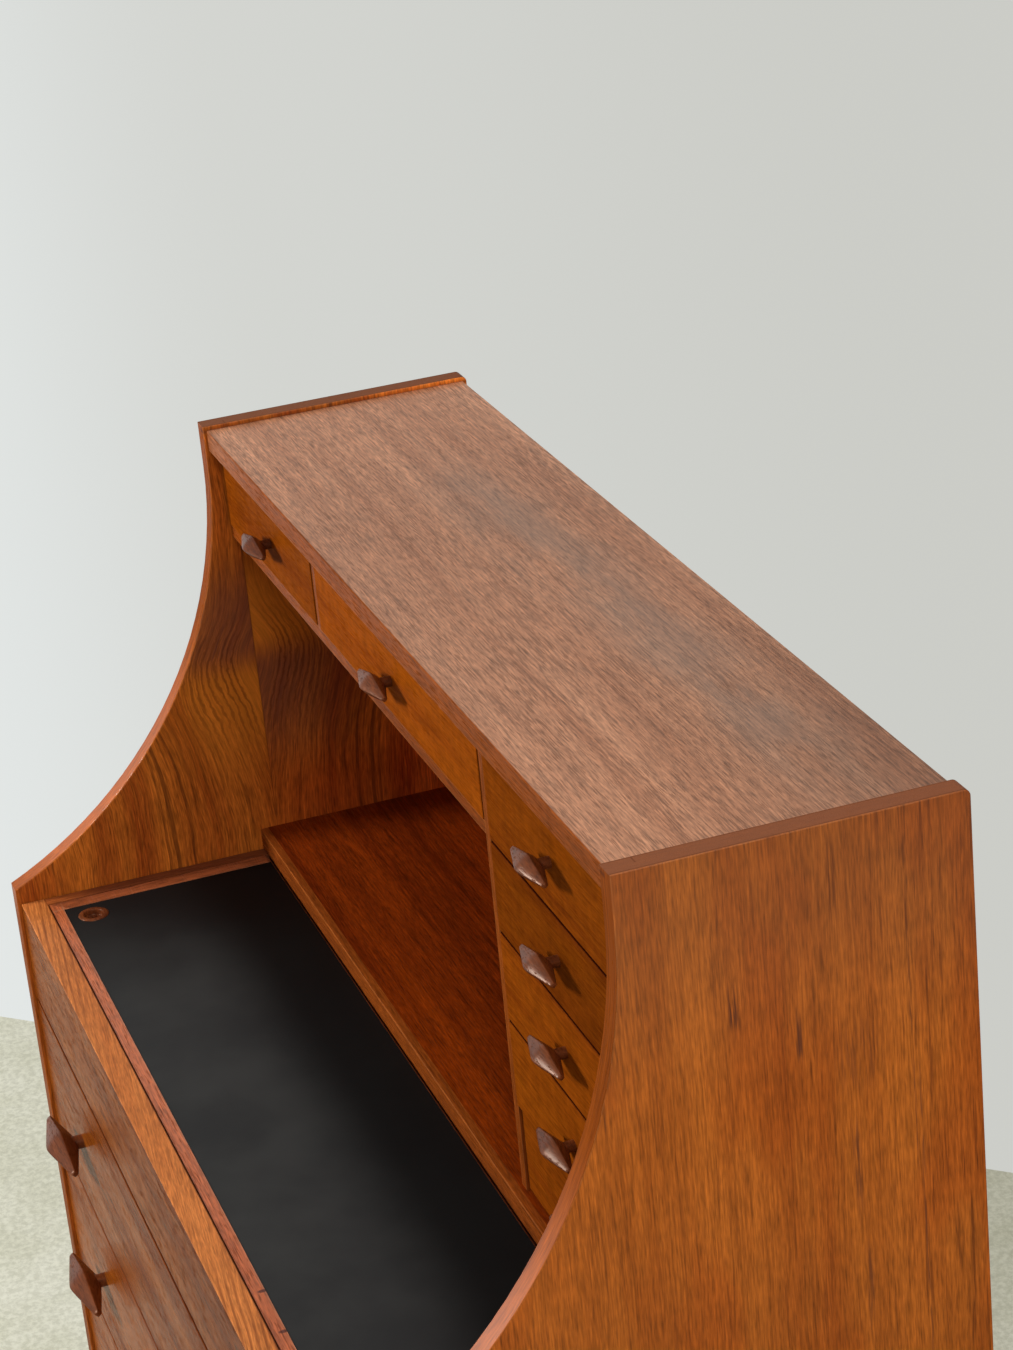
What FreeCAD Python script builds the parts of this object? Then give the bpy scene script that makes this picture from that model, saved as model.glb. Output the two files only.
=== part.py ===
"""Teak secretary desk: curved sides, small upper drawers, a pull-out tray with a lifting leaf, wide drawers.

Row frame: X to the right, Y to the back, Z up, millimetres. The origin is at floor level, in the middle of
the overall width and depth, pulls included.
"""
import FreeCAD, Part
import math
import os
import re
import Sketcher
from FreeCAD import Rotation, Vector

doc = FreeCAD.newDocument("secretary_desk")

# ---------------------------------------------------------------- driving sizes
SIZES = {
    # case
    "width": 1000,
    "height": 1150,
    "case_depth": 464,
    "side_thickness": 18.5,
    "top_depth": 240.5,
    "curve_radius": 386,
    "curve_start": 40,
    "arris": 1,
    "rear_corner": 5,
    "top_drop": 4,
    "top_thickness": 18,
    "top_setback": 3,
    "back_thickness": 6,
    "back_inset": 4,
    "bottom_thickness": 18,
    "rail_height": 16,
    "rail_depth": 45,
    "rail_clearance": 1.5,
    "dowel_radius": 4,
    "dowel_length": 30,
    "dowel_grip": 11,
    "dowel_inset": 22,
    # upper part
    "front_setback": 10,
    "row_opening": 70.5,
    "divider_thickness": 10,
    "divider_setback": 1,
    "column_width": 270.5,
    "shelf_drop": 385,
    "shelf_thickness": 18,
    "shelf_depth": 236.5,
    # drawers
    "front_gap": 0.8,
    "side_gap": 1.2,
    "rest_gap": 0.3,
    "slip": 0.6,
    "rear_room": 8,
    "tail_wide": 0.72,
    "tail_narrow": 0.48,
    "runner_lead": 12,
    "upper_front_thickness": 16,
    "upper_side_thickness": 8,
    "upper_base_thickness": 4,
    "upper_room": 4,
    "upper_groove_depth": 4,
    "upper_runner_height": 8,
    "upper_tail": 10,
    "lower_front_thickness": 20,
    "lower_front_height": 140,
    "lower_side_thickness": 12,
    "lower_base_thickness": 5,
    "lower_room": 12,
    "lower_groove_depth": 6,
    "lower_runner_height": 12,
    "lower_tail": 14,
    "base_rise": 5,
    "base_bite": 3,
    "base_room": 4,
    "row_gap": 1.3,
    "last_setback": 3,
    "front_inset": 3.5,
    "drawer_gap": 2,
    "groove_gap": 4,
    # pulls
    "small_length": 65,
    "small_depth": 20,
    "small_rise": 19,
    "small_edge": 1.5,
    "small_neck": 4,
    "small_neck_radius": 6.3,
    "large_length": 112,
    "large_depth": 29,
    "large_rise": 27,
    "large_edge": 2.5,
    "large_neck": 3,
    "large_neck_radius": 9,
    "pull_spread": 330,
    # tray and leaf
    "shelf_gap": 1.3,
    "tray_height": 93,
    "tray_front_thickness": 21,
    "tray_side_thickness": 12.5,
    "tray_groove_depth": 6,
    "tray_runner_height": 14,
    "tray_tail": 15,
    "tray_room": 6,
    "tray_base_thickness": 5,
    "leaf_gap": 1.2,
    "leaf_thickness": 12,
    "leaf_edge": 10,
    "leaf_end": 15,
    "surface_thickness": 1.5,
    "surface_sink": 0.6,
    "surface_reach": 3.2,
    "pivot_ahead": 4.4,
    "pivot_radius": 3,
    "pivot_grip": 9,
    "pivot_play": 0.05,
    "rest_width": 8,
    "cup_radius": 13.5,
    "cup_bore": 11,
    "cup_dish": 8.5,
    "cup_depth": 8,
    "cup_floor": 3,
    "cup_proud": 1,
    "cup_inset": 22,
    # legs
    "leg_top_radius": 20,
    "leg_foot_radius": 12,
    "leg_splay": 6,
    "leg_inset": 75,
    "block_size": 80,
    "block_thickness": 14,
}

sheet = doc.addObject("Spreadsheet::Sheet", "dims")
for row, (alias, value) in enumerate(SIZES.items(), start=1):
    sheet.set(f"A{row}", alias)
    sheet.set(f"B{row}", str(value))
    sheet.setAlias(f"B{row}", alias)
doc.recompute()

nodes = {}


# A sketch's lines start at a rough size, which their dimensions then set.
ROUGH = 9


# ---------------------------------------------------------------- small tools
def bound(text):
    """A formula with each size name written as a cell of the sheet."""
    def as_cell(word):
        return f"dims.{word.group()}" if word.group() in SIZES else word.group()
    return re.sub(r"[a-z_]+", as_cell, text)


def place(piece, corner):
    for axis, text in zip("xyz", corner):
        piece.setExpression(f"Placement.Base.{axis}", bound(text))


def board(name, corner, size):
    """A plain board, from its lowest corner and its lengths along X, Y and Z."""
    piece = doc.addObject("Part::Box", name)
    for side, text in zip(("Length", "Width", "Height"), size):
        piece.setExpression(side, bound(text))
    place(piece, corner)
    return piece


def cylinder(name, start, radius, length, along):
    """A round bar or hole from the middle of one end, along the X or Z direction."""
    bar = doc.addObject("Part::Cylinder", name)
    bar.setExpression("Radius", bound(radius))
    bar.setExpression("Height", bound(length))
    place(bar, start)
    if along == "x":
        bar.Placement.Rotation = Rotation(Vector(0, 1, 0), 90)
        bar.recompute()
    return bar


def keep(name, piece):
    """Name a finished sub-part, which is written to its own file."""
    piece.Label = name
    nodes[name] = piece
    return piece


def group(name, pieces):
    """Separate solids that share one node."""
    compound = doc.addObject("Part::Compound", name)
    compound.Links = pieces
    return compound


def fused(name, pieces):
    fusion = doc.addObject("Part::MultiFuse", name)
    fusion.Shapes = pieces
    return fusion


def cut(name, base, tool):
    result = doc.addObject("Part::Cut", name)
    result.Base = base
    result.Tool = tool
    return result


def sketch_on(body, role, name, offset="0"):
    """A sketch on one of the body's own origin planes, moved along the plane's normal."""
    sketch = body.newObject("Sketcher::SketchObject", name)
    plane = next(feature for feature in body.Origin.OriginFeatures if feature.Role == role)
    sketch.AttachmentSupport = (plane, [""])
    sketch.MapMode = "FlatFace"
    sketch.setExpression("AttachmentOffset.Base.z", bound(offset))
    return sketch


def constrain(sketch, formula, *terms):
    """Add a dimension to a sketch and tie it to the sheet."""
    index = sketch.addConstraint(Sketcher.Constraint(*terms))
    sketch.setExpression(f"Constraints[{index}]", bound(formula))


def chain(sketch, points):
    """A closed chain of lines through rough points, joined end to end."""
    count = len(points)
    corners = [Vector(*point) for point in points]
    for index in range(count):
        sketch.addGeometry(Part.LineSegment(corners[index], corners[(index + 1) % count]))
    for index in range(count):
        sketch.addConstraint(Sketcher.Constraint("Coincident", index, 2, (index + 1) % count, 1))


def rectangle(sketch, wide, high):
    """A rectangle with one corner on the sketch's origin."""
    chain(sketch, [(0, 0), (ROUGH, 0), (ROUGH, ROUGH), (0, ROUGH)])
    for line, kind in enumerate(("Horizontal", "Vertical", "Horizontal", "Vertical")):
        sketch.addConstraint(Sketcher.Constraint(kind, line))
    sketch.addConstraint(Sketcher.Constraint("Coincident", 0, 1, -1, 1))
    constrain(sketch, wide, "DistanceX", 0, 1, 0, 2, ROUGH)
    constrain(sketch, high, "DistanceY", 1, 1, 1, 2, ROUGH)


def face_edges(shape, direction):
    """Names of the edges round the face that lies furthest along a direction."""
    face = max(shape.Faces, key=lambda item: item.CenterOfMass.dot(direction))
    return [f"Edge{index}" for index, edge in enumerate(shape.Edges, start=1)
            if any(edge.isSame(other) for other in face.Edges)]


def round_edges(body, base, names, radius):
    fillet = body.newObject("PartDesign::Fillet", "rounding")
    fillet.Base = (base, names)
    fillet.setExpression("Radius", bound(radius))
    return fillet


def faced_board(name, corner, size, direction):
    """A board whose edges round its show face are eased."""
    body = doc.addObject("PartDesign::Body", name)
    sketch = sketch_on(body, "XY_Plane", f"{name}_outline")
    rectangle(sketch, size[0], size[1])
    pad = body.newObject("PartDesign::Pad", f"{name}_pad")
    pad.Profile = sketch
    pad.setExpression("Length", bound(size[2]))
    place(body, corner)
    doc.recompute()
    round_edges(body, pad, face_edges(pad.Shape, Vector(*direction)), "arris")
    return body


# ---------------------------------------------------------------- levels and planes, as formulas
INNER = "(width / 2 - side_thickness)"
REACH = "(case_depth - front_inset + large_neck + large_depth)"


def forward(depth):
    """Y of a plane that far in front of the rear edges of the sides."""
    return f"({REACH} / 2 - ({depth}))"


def below(drop):
    """Z of a level that far below the top edges of the sides."""
    return f"(height - ({drop}))"


BACK_FACE = "(back_inset + back_thickness)"
TOP_UNDER = "(top_drop + top_thickness)"
ROW_FLOOR = f"({TOP_UNDER} + row_opening)"
ROW_UNDER = f"({ROW_FLOOR} + divider_thickness)"
UPPER_FRONT = "(top_depth - top_setback - front_setback)"
SHELF_UNDER = "(shelf_drop + shelf_thickness)"
LEAF_TOP = f"({SHELF_UNDER} + shelf_gap)"
TRAY_UNDER = f"({LEAF_TOP} + tray_height)"
LOWER_FRONT = "(case_depth - front_inset)"
LOWER_TOP = f"({TRAY_UNDER} + groove_gap)"
LOWER_PITCH = "(lower_front_height + drawer_gap)"
LOWER_NAMES = ("low_drawer_1", "low_drawer_2", "low_drawer_3")
BOTTOM_TOP = f"({LOWER_TOP} + {len(LOWER_NAMES)} * {LOWER_PITCH})"
CASE_UNDER = f"({BOTTOM_TOP} + bottom_thickness)"
COLUMN_LEFT = f"({INNER} - column_width)"
ROW_COUNT = 5
COLUMN_PITCH = f"((shelf_drop - {ROW_UNDER}) / {ROW_COUNT - 1})"


# ---------------------------------------------------------------- dowels
# Glued dowels join the ends of the fixed boards to the sides. Each hole is the dowel's own shape.
dowels = {"left": [], "right": []}


def dowel_ends(name, depths, z):
    """Dowels in both ends of a board, at these depths in front of the rear edges."""
    starts = {"left": f"(-{INNER} - dowel_grip)", "right": f"({INNER} + dowel_grip - dowel_length)"}
    pins = []
    for depth in depths:
        for hand, x in starts.items():
            pin = cylinder(f"{name}_dowel", (x, forward(depth), z), "dowel_radius", "dowel_length", "x")
            dowels[hand].append(pin)
            pins.append(pin)
    return group(f"{name}_dowels", pins)


def row_of_three(front, rear):
    """Depths of three dowels between a board's front and rear edges."""
    return (f"{front} - dowel_inset", f"({front} + {rear}) / 2", f"{rear} + dowel_inset")


# ---------------------------------------------------------------- side panels
def side_panel(name, left):
    """A veneered side: deep below the writing leaf, drawn back in one round sweep to the shallow top."""
    body = doc.addObject("PartDesign::Body", name)
    sketch = sketch_on(body, "YZ_Plane", f"{name}_outline")
    depth = sheet.get("case_depth")
    top = sheet.get("top_depth")
    radius = sheet.get("curve_radius")
    tall = 3 * depth
    start = tall - sheet.get("curve_start")
    turn = math.acos(1 - (depth - top) / radius)
    arm = start - radius * math.sin(turn)
    outline = [(0, 0), (-depth, 0), (-depth, arm), (-top, start), (-top, tall), (0, tall)]
    corners = [Vector(*point) for point in outline]
    for first, last in ((0, 1), (1, 2), (3, 4), (4, 5), (5, 0)):
        sketch.addGeometry(Part.LineSegment(corners[first], corners[last]))
    circle = Part.Circle(Vector(-top - radius, start), Vector(0, 0, 1), radius)
    sketch.addGeometry(Part.ArcOfCircle(circle, -turn, 0))
    base, front, neck, top_edge, rear, sweep = range(6)
    for first, last in ((base, front), (neck, top_edge), (top_edge, rear), (rear, base)):
        sketch.addConstraint(Sketcher.Constraint("Coincident", first, 2, last, 1))
    sketch.addConstraint(Sketcher.Constraint("Coincident", base, 1, -1, 1))
    sketch.addConstraint(Sketcher.Constraint("Coincident", front, 2, sweep, 1))
    sketch.addConstraint(Sketcher.Constraint("Tangent", sweep, 2, neck, 1))
    for line in (base, top_edge):
        sketch.addConstraint(Sketcher.Constraint("Horizontal", line))
    for line in (front, neck, rear):
        sketch.addConstraint(Sketcher.Constraint("Vertical", line))
    constrain(sketch, "case_depth", "DistanceX", base, 2, base, 1, depth)
    constrain(sketch, CASE_UNDER, "DistanceY", rear, 2, rear, 1, tall)
    constrain(sketch, "top_depth", "DistanceX", top_edge, 1, top_edge, 2, top)
    constrain(sketch, "curve_start", "DistanceY", neck, 1, neck, 2, tall - start)
    constrain(sketch, "curve_radius", "Radius", sweep, radius)
    pad = body.newObject("PartDesign::Pad", f"{name}_pad")
    pad.Profile = sketch
    pad.setExpression("Length", bound("side_thickness"))
    place(body, ("-width / 2" if left else INNER, forward("0"), below(CASE_UNDER)))
    doc.recompute()
    rear_top = [f"Edge{index}" for index, edge in enumerate(pad.Shape.Edges, start=1)
                if edge.CenterOfMass.y > -1 and edge.CenterOfMass.z > pad.Shape.BoundBox.ZMax - 1
                and edge.BoundBox.XLength > 1]
    corner = round_edges(body, pad, rear_top, "rear_corner")
    doc.recompute()
    both = face_edges(corner.Shape, Vector(1, 0, 0)) + face_edges(corner.Shape, Vector(-1, 0, 0))
    round_edges(body, corner, both, "arris")
    return body


# ---------------------------------------------------------------- fixed boards of the case
UPPER_RUN = f"({UPPER_FRONT} - divider_setback - {BACK_FACE})"
RAIL_MIDDLE = f"({TRAY_UNDER} + groove_gap / 2)"
RAIL_FRONT = f"({LOWER_FRONT} - tray_front_thickness - rail_clearance)"


def dowelled_board(name, front, rear, under, thickness):
    """A board between the sides, eased along its front edge and dowelled at both ends."""
    blank = faced_board(
        f"{name}_blank",
        (f"-{INNER}", forward(front), below(under)),
        (f"2 * {INNER}", f"{front} - {rear}", thickness),
        (0, -1, 0))
    pins = dowel_ends(name, row_of_three(front, rear), below(f"({under} - {thickness} / 2)"))
    keep(name, cut(name, blank, pins))


dowelled_board("top_panel", "(top_depth - top_setback)", "back_inset", TOP_UNDER, "top_thickness")
dowelled_board("shelf", "shelf_depth", BACK_FACE, SHELF_UNDER, "shelf_thickness")
dowelled_board("case_bottom", LOWER_FRONT, "back_inset", CASE_UNDER, "bottom_thickness")
rail = board(
    "front_rail_blank",
    (f"-{INNER}", forward(RAIL_FRONT), below(f"{RAIL_MIDDLE} + rail_height / 2")),
    (f"2 * {INNER}", "rail_depth", "rail_height"))
keep("front_rail", cut("front_rail", rail, dowel_ends(
    "front_rail", [f"{RAIL_FRONT} - rail_depth / 2"], below(RAIL_MIDDLE))))
keep("row_board", board(
    "row_board",
    (f"-{INNER}", forward(f"{UPPER_FRONT} - divider_setback"), below(ROW_UNDER)),
    (f"{INNER} + {COLUMN_LEFT} - divider_thickness", UPPER_RUN, "divider_thickness")))
keep("left_divider", board(
    "left_divider",
    (f"column_width - {INNER}", forward(f"{UPPER_FRONT} - divider_setback"), below(ROW_FLOOR)),
    ("divider_thickness", UPPER_RUN, "row_opening")))
keep("column_divider", board(
    "column_divider",
    (f"{COLUMN_LEFT} - divider_thickness", forward(f"{UPPER_FRONT} - divider_setback"), below("shelf_drop")),
    ("divider_thickness", UPPER_RUN, f"shelf_drop - {TOP_UNDER}")))
keep("upper_back", board(
    "upper_back",
    (f"-{INNER}", forward(BACK_FACE), below(SHELF_UNDER)),
    (f"2 * {INNER}", "back_thickness", f"{SHELF_UNDER} - {TOP_UNDER}")))
keep("lower_back", board(
    "lower_back",
    (f"-{INNER}", forward(BACK_FACE), below(BOTTOM_TOP)),
    (f"2 * {INNER}", "back_thickness", f"{BOTTOM_TOP} - {SHELF_UNDER}")))
for hand in ("left", "right"):
    name = f"side_panel_{hand}"
    holes = group(f"{hand}_dowel_holes", dowels[hand])
    keep(name, cut(name, side_panel(f"{name}_blank", hand == "left"), holes))
keep("dowels", group("dowels", dowels["left"] + dowels["right"]))


# ---------------------------------------------------------------- pulls
# Sections of a pull: how far out each lies, as a share of half the length, and its share of the full size.
PULL_SECTIONS = ((1, 0.24), (0.26, 0.87), (0.12, 0.96), (0, 1), (-0.12, 0.96), (-0.26, 0.87), (-1, 0.24))


def soft_diamond(sketch, wide, high, edge):
    """A diamond with round corners, centred on the sketch's origin."""
    turns = [math.radians(angle) for angle in (180, 270, 0, 90)]
    corners = [Vector(2 * ROUGH * math.cos(turn), 2 * ROUGH * math.sin(turn)) for turn in turns]
    for corner, turn in zip(corners, turns):
        circle = Part.Circle(corner, Vector(0, 0, 1), ROUGH)
        sketch.addGeometry(Part.ArcOfCircle(circle, turn - math.pi / 4, turn + math.pi / 4))
    count = len(corners)
    for index, corner in enumerate(corners):
        out = ROUGH * Vector(math.cos(turns[index] + math.pi / 4), math.sin(turns[index] + math.pi / 4))
        sketch.addGeometry(Part.LineSegment(corner + out, corners[(index + 1) % count] + out))
    for index in range(count):
        line = count + index
        sketch.addConstraint(Sketcher.Constraint("Tangent", index, 2, line, 1))
        sketch.addConstraint(Sketcher.Constraint("Tangent", line, 2, (index + 1) % count, 1))
    for index in range(1, count):
        sketch.addConstraint(Sketcher.Constraint("Equal", 0, index))
    for index, axis in ((0, -1), (1, -2)):
        sketch.addConstraint(Sketcher.Constraint("PointOnObject", index, 3, axis))
        sketch.addConstraint(Sketcher.Constraint("Symmetric", index, 3, index + 2, 3, -1, 1))
    constrain(sketch, edge, "Radius", 0, ROUGH)
    constrain(sketch, f"{wide} - 2 * {edge}", "DistanceX", 0, 3, 2, 3, 4 * ROUGH)
    constrain(sketch, f"{high} - 2 * {edge}", "DistanceY", 1, 3, 3, 3, 4 * ROUGH)


def pull(name, size, centre):
    """A wooden pull on a round neck: two blunt four-sided points back to back, with a soft waist and ridges."""
    body = doc.addObject("PartDesign::Body", name)
    sections = []
    for place_share, size_share in PULL_SECTIONS:
        section = sketch_on(body, "YZ_Plane", f"{name}_section", f"{place_share} * {size}_length / 2")
        soft_diamond(section, f"{size_share} * {size}_depth", f"{size_share} * {size}_rise", f"{size}_edge")
        sections.append(section)
    loft = body.newObject("PartDesign::AdditiveLoft", f"{name}_loft")
    loft.Profile = sections[0]
    loft.Sections = sections[1:]
    loft.Ruled = True
    neck_sketch = sketch_on(body, "XZ_Plane", f"{name}_neck_outline")
    neck_sketch.addGeometry(Part.Circle(Vector(0, 0), Vector(0, 0, 1), ROUGH))
    neck_sketch.addConstraint(Sketcher.Constraint("Coincident", 0, 3, -1, 1))
    constrain(neck_sketch, f"{size}_neck_radius", "Radius", 0, ROUGH)
    neck = body.newObject("PartDesign::Pad", f"{name}_neck")
    neck.Profile = neck_sketch
    neck.Reversed = True
    neck.setExpression("Length", bound(f"{size}_depth / 2 + {size}_neck"))
    place(body, centre)
    return body


# ---------------------------------------------------------------- drawers
UPPER_TAIL_COUNT = 2
LOWER_TAIL_COUNT = 4
TRAY_TAIL_COUNT = 3
TAILS = {"upper": UPPER_TAIL_COUNT, "lower": LOWER_TAIL_COUNT, "tray": TRAY_TAIL_COUNT}
runners = {"upper": [], "lower": []}


def tail_wedges(name, kind, start, front_back, box_low, height):
    """Dovetail tails on the front end of a drawer side, widest at their tips."""
    wedges = []
    count = TAILS[kind]
    share = f"({height} / {count})"
    for index in range(count):
        wedge = doc.addObject("Part::Wedge", name)
        middle = f"{share} * {index + 0.5}"
        for size, text in (("Xmin", "0"), ("X2min", "0"), ("Ymin", "0"), ("Ymax", f"{kind}_tail"),
                           ("Xmax", f"{kind}_side_thickness"), ("X2max", f"{kind}_side_thickness"),
                           ("Zmin", f"{middle} - {share} * tail_wide / 2"),
                           ("Zmax", f"{middle} + {share} * tail_wide / 2"),
                           ("Z2min", f"{middle} - {share} * tail_narrow / 2"),
                           ("Z2max", f"{middle} + {share} * tail_narrow / 2")):
            wedge.setExpression(size, bound(text))
        place(wedge, (start, forward(f"{front_back} + {kind}_tail"), box_low))
        wedges.append(wedge)
    return wedges


def grooved_side(name, kind, hand, start, front_back, run, box_low, height, middle):
    """A drawer side with tails at its front end, a stopped groove for its runner and one for the base."""
    side = f"{kind}_side_thickness"
    plain = board(f"{name}_board", (start, forward(front_back), box_low), (side, run, height))
    wedges = tail_wedges(f"{name}_tail", kind, start, front_back, box_low, height)
    outer = start if hand == "left" else f"({start} + {side} - {kind}_groove_depth)"
    inner = start if hand == "right" else f"({start} + {side} - base_bite)"
    runner_groove = board(
        f"{name}_runner_groove",
        (outer, forward(front_back), f"{middle} - {kind}_runner_height / 2 - slip"),
        (f"{kind}_groove_depth", f"{run} + slip", f"{kind}_runner_height + slip + rest_gap"))
    base_groove = board(
        f"{name}_base_groove",
        (inner, forward(f"{front_back} + base_bite"), f"{box_low} + base_rise"),
        ("base_bite", f"{run} + base_bite", f"{kind}_base_thickness"))
    grooves = group(f"{name}_grooves", [runner_groove, base_groove])
    return cut(f"{name}_side", fused(f"{name}_tailed", [plain] + wedges), grooves), wedges


def base_board(name, kind, left, wide, front_back, run, box_low):
    """A drawer's base, let into its front and its two sides."""
    corner = (f"{left} - base_bite", forward(f"{front_back} + base_bite"), f"{box_low} + base_rise")
    return board(name, corner, (f"{wide} + 2 * base_bite", f"{run} + base_bite", f"{kind}_base_thickness"))


def drawer(name, kind, cell, gap, front_plane, pull_places, size):
    """A drawer: an eased front, a box of sides, back and base, and its pulls, hung on two side runners."""
    left, right, low, high = cell
    thickness = f"{kind}_front_thickness"
    side = f"{kind}_side_thickness"
    front_back = f"({front_plane} - {thickness})"
    box_rear = f"({BACK_FACE} + rear_room)"
    box_left = f"({left} + side_gap)"
    box_right = f"({right} - side_gap)"
    box_low = f"({low} + base_room)"
    height = f"({high} - {kind}_room - {box_low})"
    middle = f"(({low} + {high}) / 2)"
    run = f"({front_back} - {box_rear})"
    reach = f"(side_gap + {kind}_groove_depth - slip)"
    runner_low = f"{middle} - {kind}_runner_height / 2"
    runner_run = f"{front_back} - runner_lead - {BACK_FACE}"

    sides = []
    sockets = []
    for hand, start in (("left", box_left), ("right", f"({box_right} - {side})")):
        piece, wedges = grooved_side(
            f"{name}_{hand}", kind, hand, start, front_back, run, box_low, height, middle)
        sides.append(piece)
        sockets += wedges
        runner_start = left if hand == "left" else f"({right} - {reach})"
        runners[kind].append(board(
            f"{name}_{hand}_runner",
            (runner_start, forward(f"{front_back} - runner_lead"), runner_low),
            (reach, runner_run, f"{kind}_runner_height")))
    front = faced_board(
        f"{name}_front_board",
        (f"{left} + front_gap", forward(front_plane), f"{low} + {gap}"),
        (f"{right} - ({left}) - 2 * front_gap", thickness, f"{high} - ({low}) - 2 * {gap}"),
        (0, -1, 0))
    inside_left = f"({box_left} + {side})"
    inside = f"({box_right} - {box_left} - 2 * {side})"
    base_top = f"(base_rise + {kind}_base_thickness)"
    back = board(f"{name}_back", (inside_left, forward(f"{box_rear} + {side}"), f"{box_low} + {base_top}"),
                 (inside, side, f"{height} - {base_top}"))
    base = base_board(f"{name}_base_board", kind, inside_left, inside, front_back, run, box_low)
    keep(f"{name}_front", cut(f"{name}_front", front, group(f"{name}_sockets", sockets + [base])))
    if kind == "lower":
        keep(f"{name}_box", group(f"{name}_box", sides + [back]))
        keep(f"{name}_base", base)
    else:
        keep(f"{name}_box", group(f"{name}_box", sides + [back, base]))
    pull_y = forward(f"{front_plane} + {size}_neck + {size}_depth / 2")
    pulls = [pull(f"{name}_pull_body", size, (x, pull_y, middle)) for x in pull_places]
    if len(pulls) == 1:
        keep(f"{name}_pull", pulls[0])
    else:
        keep(f"{name}_pulls", group(f"{name}_pulls", pulls))


ROW_HIGH = below(TOP_UNDER)
ROW_LOW = below(ROW_FLOOR)
COLUMN_MIDDLE = f"({INNER} - column_width / 2)"
drawer("left_drawer", "upper", (f"-{INNER}", f"(column_width - {INNER})", ROW_LOW, ROW_HIGH), "front_gap",
       UPPER_FRONT, [f"-{COLUMN_MIDDLE}"], "small")
CENTRE_LEFT = f"(column_width - {INNER} + divider_thickness)"
CENTRE_RIGHT = f"({COLUMN_LEFT} - divider_thickness)"
drawer("centre_drawer", "upper", (CENTRE_LEFT, CENTRE_RIGHT, ROW_LOW, ROW_HIGH), "front_gap",
       UPPER_FRONT, ["0"], "small")
for row in range(ROW_COUNT):
    low = below(f"({ROW_UNDER} + {row} * {COLUMN_PITCH})")
    high = ROW_HIGH if row == 0 else below(f"({ROW_UNDER} + {row - 1} * {COLUMN_PITCH})")
    plane = UPPER_FRONT if row < ROW_COUNT - 1 else f"({UPPER_FRONT} - last_setback)"
    drawer(f"right_drawer_{row + 1}", "upper", (COLUMN_LEFT, INNER, low, high), "row_gap",
           plane, [COLUMN_MIDDLE], "small")
for row, name in enumerate(LOWER_NAMES):
    cell_top = f"({LOWER_TOP} - drawer_gap / 2 + {row} * {LOWER_PITCH})"
    drawer(name, "lower", (f"-{INNER}", INNER, below(f"({cell_top} + {LOWER_PITCH})"), below(cell_top)),
           "drawer_gap / 2", LOWER_FRONT, ["-pull_spread", "pull_spread"], "large")


# ---------------------------------------------------------------- tray
# The tray slides out under the shelf. Its front is flush with the leaf, which lies between its sides.
TRAY_LEFT = f"(-{INNER} + side_gap)"
TRAY_INNER = f"({INNER} - side_gap - tray_side_thickness)"
TRAY_BACK = f"({LOWER_FRONT} - tray_front_thickness)"
TRAY_REAR = f"({BACK_FACE} + rear_room)"
TRAY_LOW = below(f"({TRAY_UNDER} - tray_room)")
TRAY_TALL = "(tray_height - tray_room)"
TRAY_RUN = f"({TRAY_BACK} - {TRAY_REAR})"
TRAY_MIDDLE = f"({TRAY_LOW} + {TRAY_TALL} / 2)"
PIVOT_DEPTH = "(shelf_depth + pivot_ahead)"
LEAF_LOW = below(f"({LEAF_TOP} + leaf_thickness)")
PIVOT_Z = below(f"({LEAF_TOP} + leaf_thickness / 2)")
DECK_FRONT = f"({PIVOT_DEPTH} - leaf_thickness / 2 - slip)"


def pivot(name, x, radius, length):
    return cylinder(name, (x, forward(PIVOT_DEPTH), PIVOT_Z), radius, length, "x")


tray_sides = []
tray_sockets = []
tray_runners = []
for hand, start in (("left", TRAY_LEFT), ("right", TRAY_INNER)):
    piece, wedges = grooved_side(
        f"tray_{hand}", "tray", hand, start, TRAY_BACK, TRAY_RUN, TRAY_LOW, TRAY_TALL, TRAY_MIDDLE)
    hole = pivot(f"tray_{hand}_hole", start, "pivot_radius", "tray_side_thickness")
    tray_sides.append(cut(f"tray_{hand}_drilled", piece, hole))
    tray_sockets += wedges
    reach = "(side_gap + tray_groove_depth - slip)"
    tray_runners.append(board(
        f"tray_{hand}_runner",
        (f"-{INNER}" if hand == "left" else f"({INNER} - {reach})", forward(f"{TRAY_BACK} - runner_lead"),
         f"{TRAY_MIDDLE} - tray_runner_height / 2"),
        (reach, f"{TRAY_BACK} - runner_lead - {BACK_FACE}", "tray_runner_height")))
tray_front = faced_board(
    "tray_front_board",
    (f"-{INNER} + front_gap", forward(LOWER_FRONT), below(TRAY_UNDER)),
    (f"2 * {INNER} - 2 * front_gap", "tray_front_thickness", "tray_height"),
    (0, -1, 0))
tray_base = base_board(
    "tray_base", "tray", f"-{TRAY_INNER}", f"2 * {TRAY_INNER}", TRAY_BACK, TRAY_RUN, TRAY_LOW)
keep("tray_front", cut("tray_front", tray_front, group("tray_sockets", tray_sockets + [tray_base])))
TRAY_BASE_TOP = "(base_rise + tray_base_thickness)"
tray_back = board(
    "tray_back",
    (f"-{TRAY_INNER}", forward(f"{TRAY_REAR} + tray_side_thickness"), f"{TRAY_LOW} + {TRAY_BASE_TOP}"),
    (f"2 * {TRAY_INNER}", "tray_side_thickness", f"{TRAY_TALL} - leaf_thickness - {TRAY_BASE_TOP}"))
keep("tray_box", group("tray_box", tray_sides + [tray_back]))
keep("tray_base", tray_base)
DECK_RUN = f"({DECK_FRONT} - {TRAY_REAR})"
keep("deck_board", board(
    "deck_board",
    (f"-{TRAY_INNER}", forward(DECK_FRONT), LEAF_LOW),
    (f"2 * {TRAY_INNER}", DECK_RUN, "leaf_thickness - surface_thickness - surface_sink")))
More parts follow.
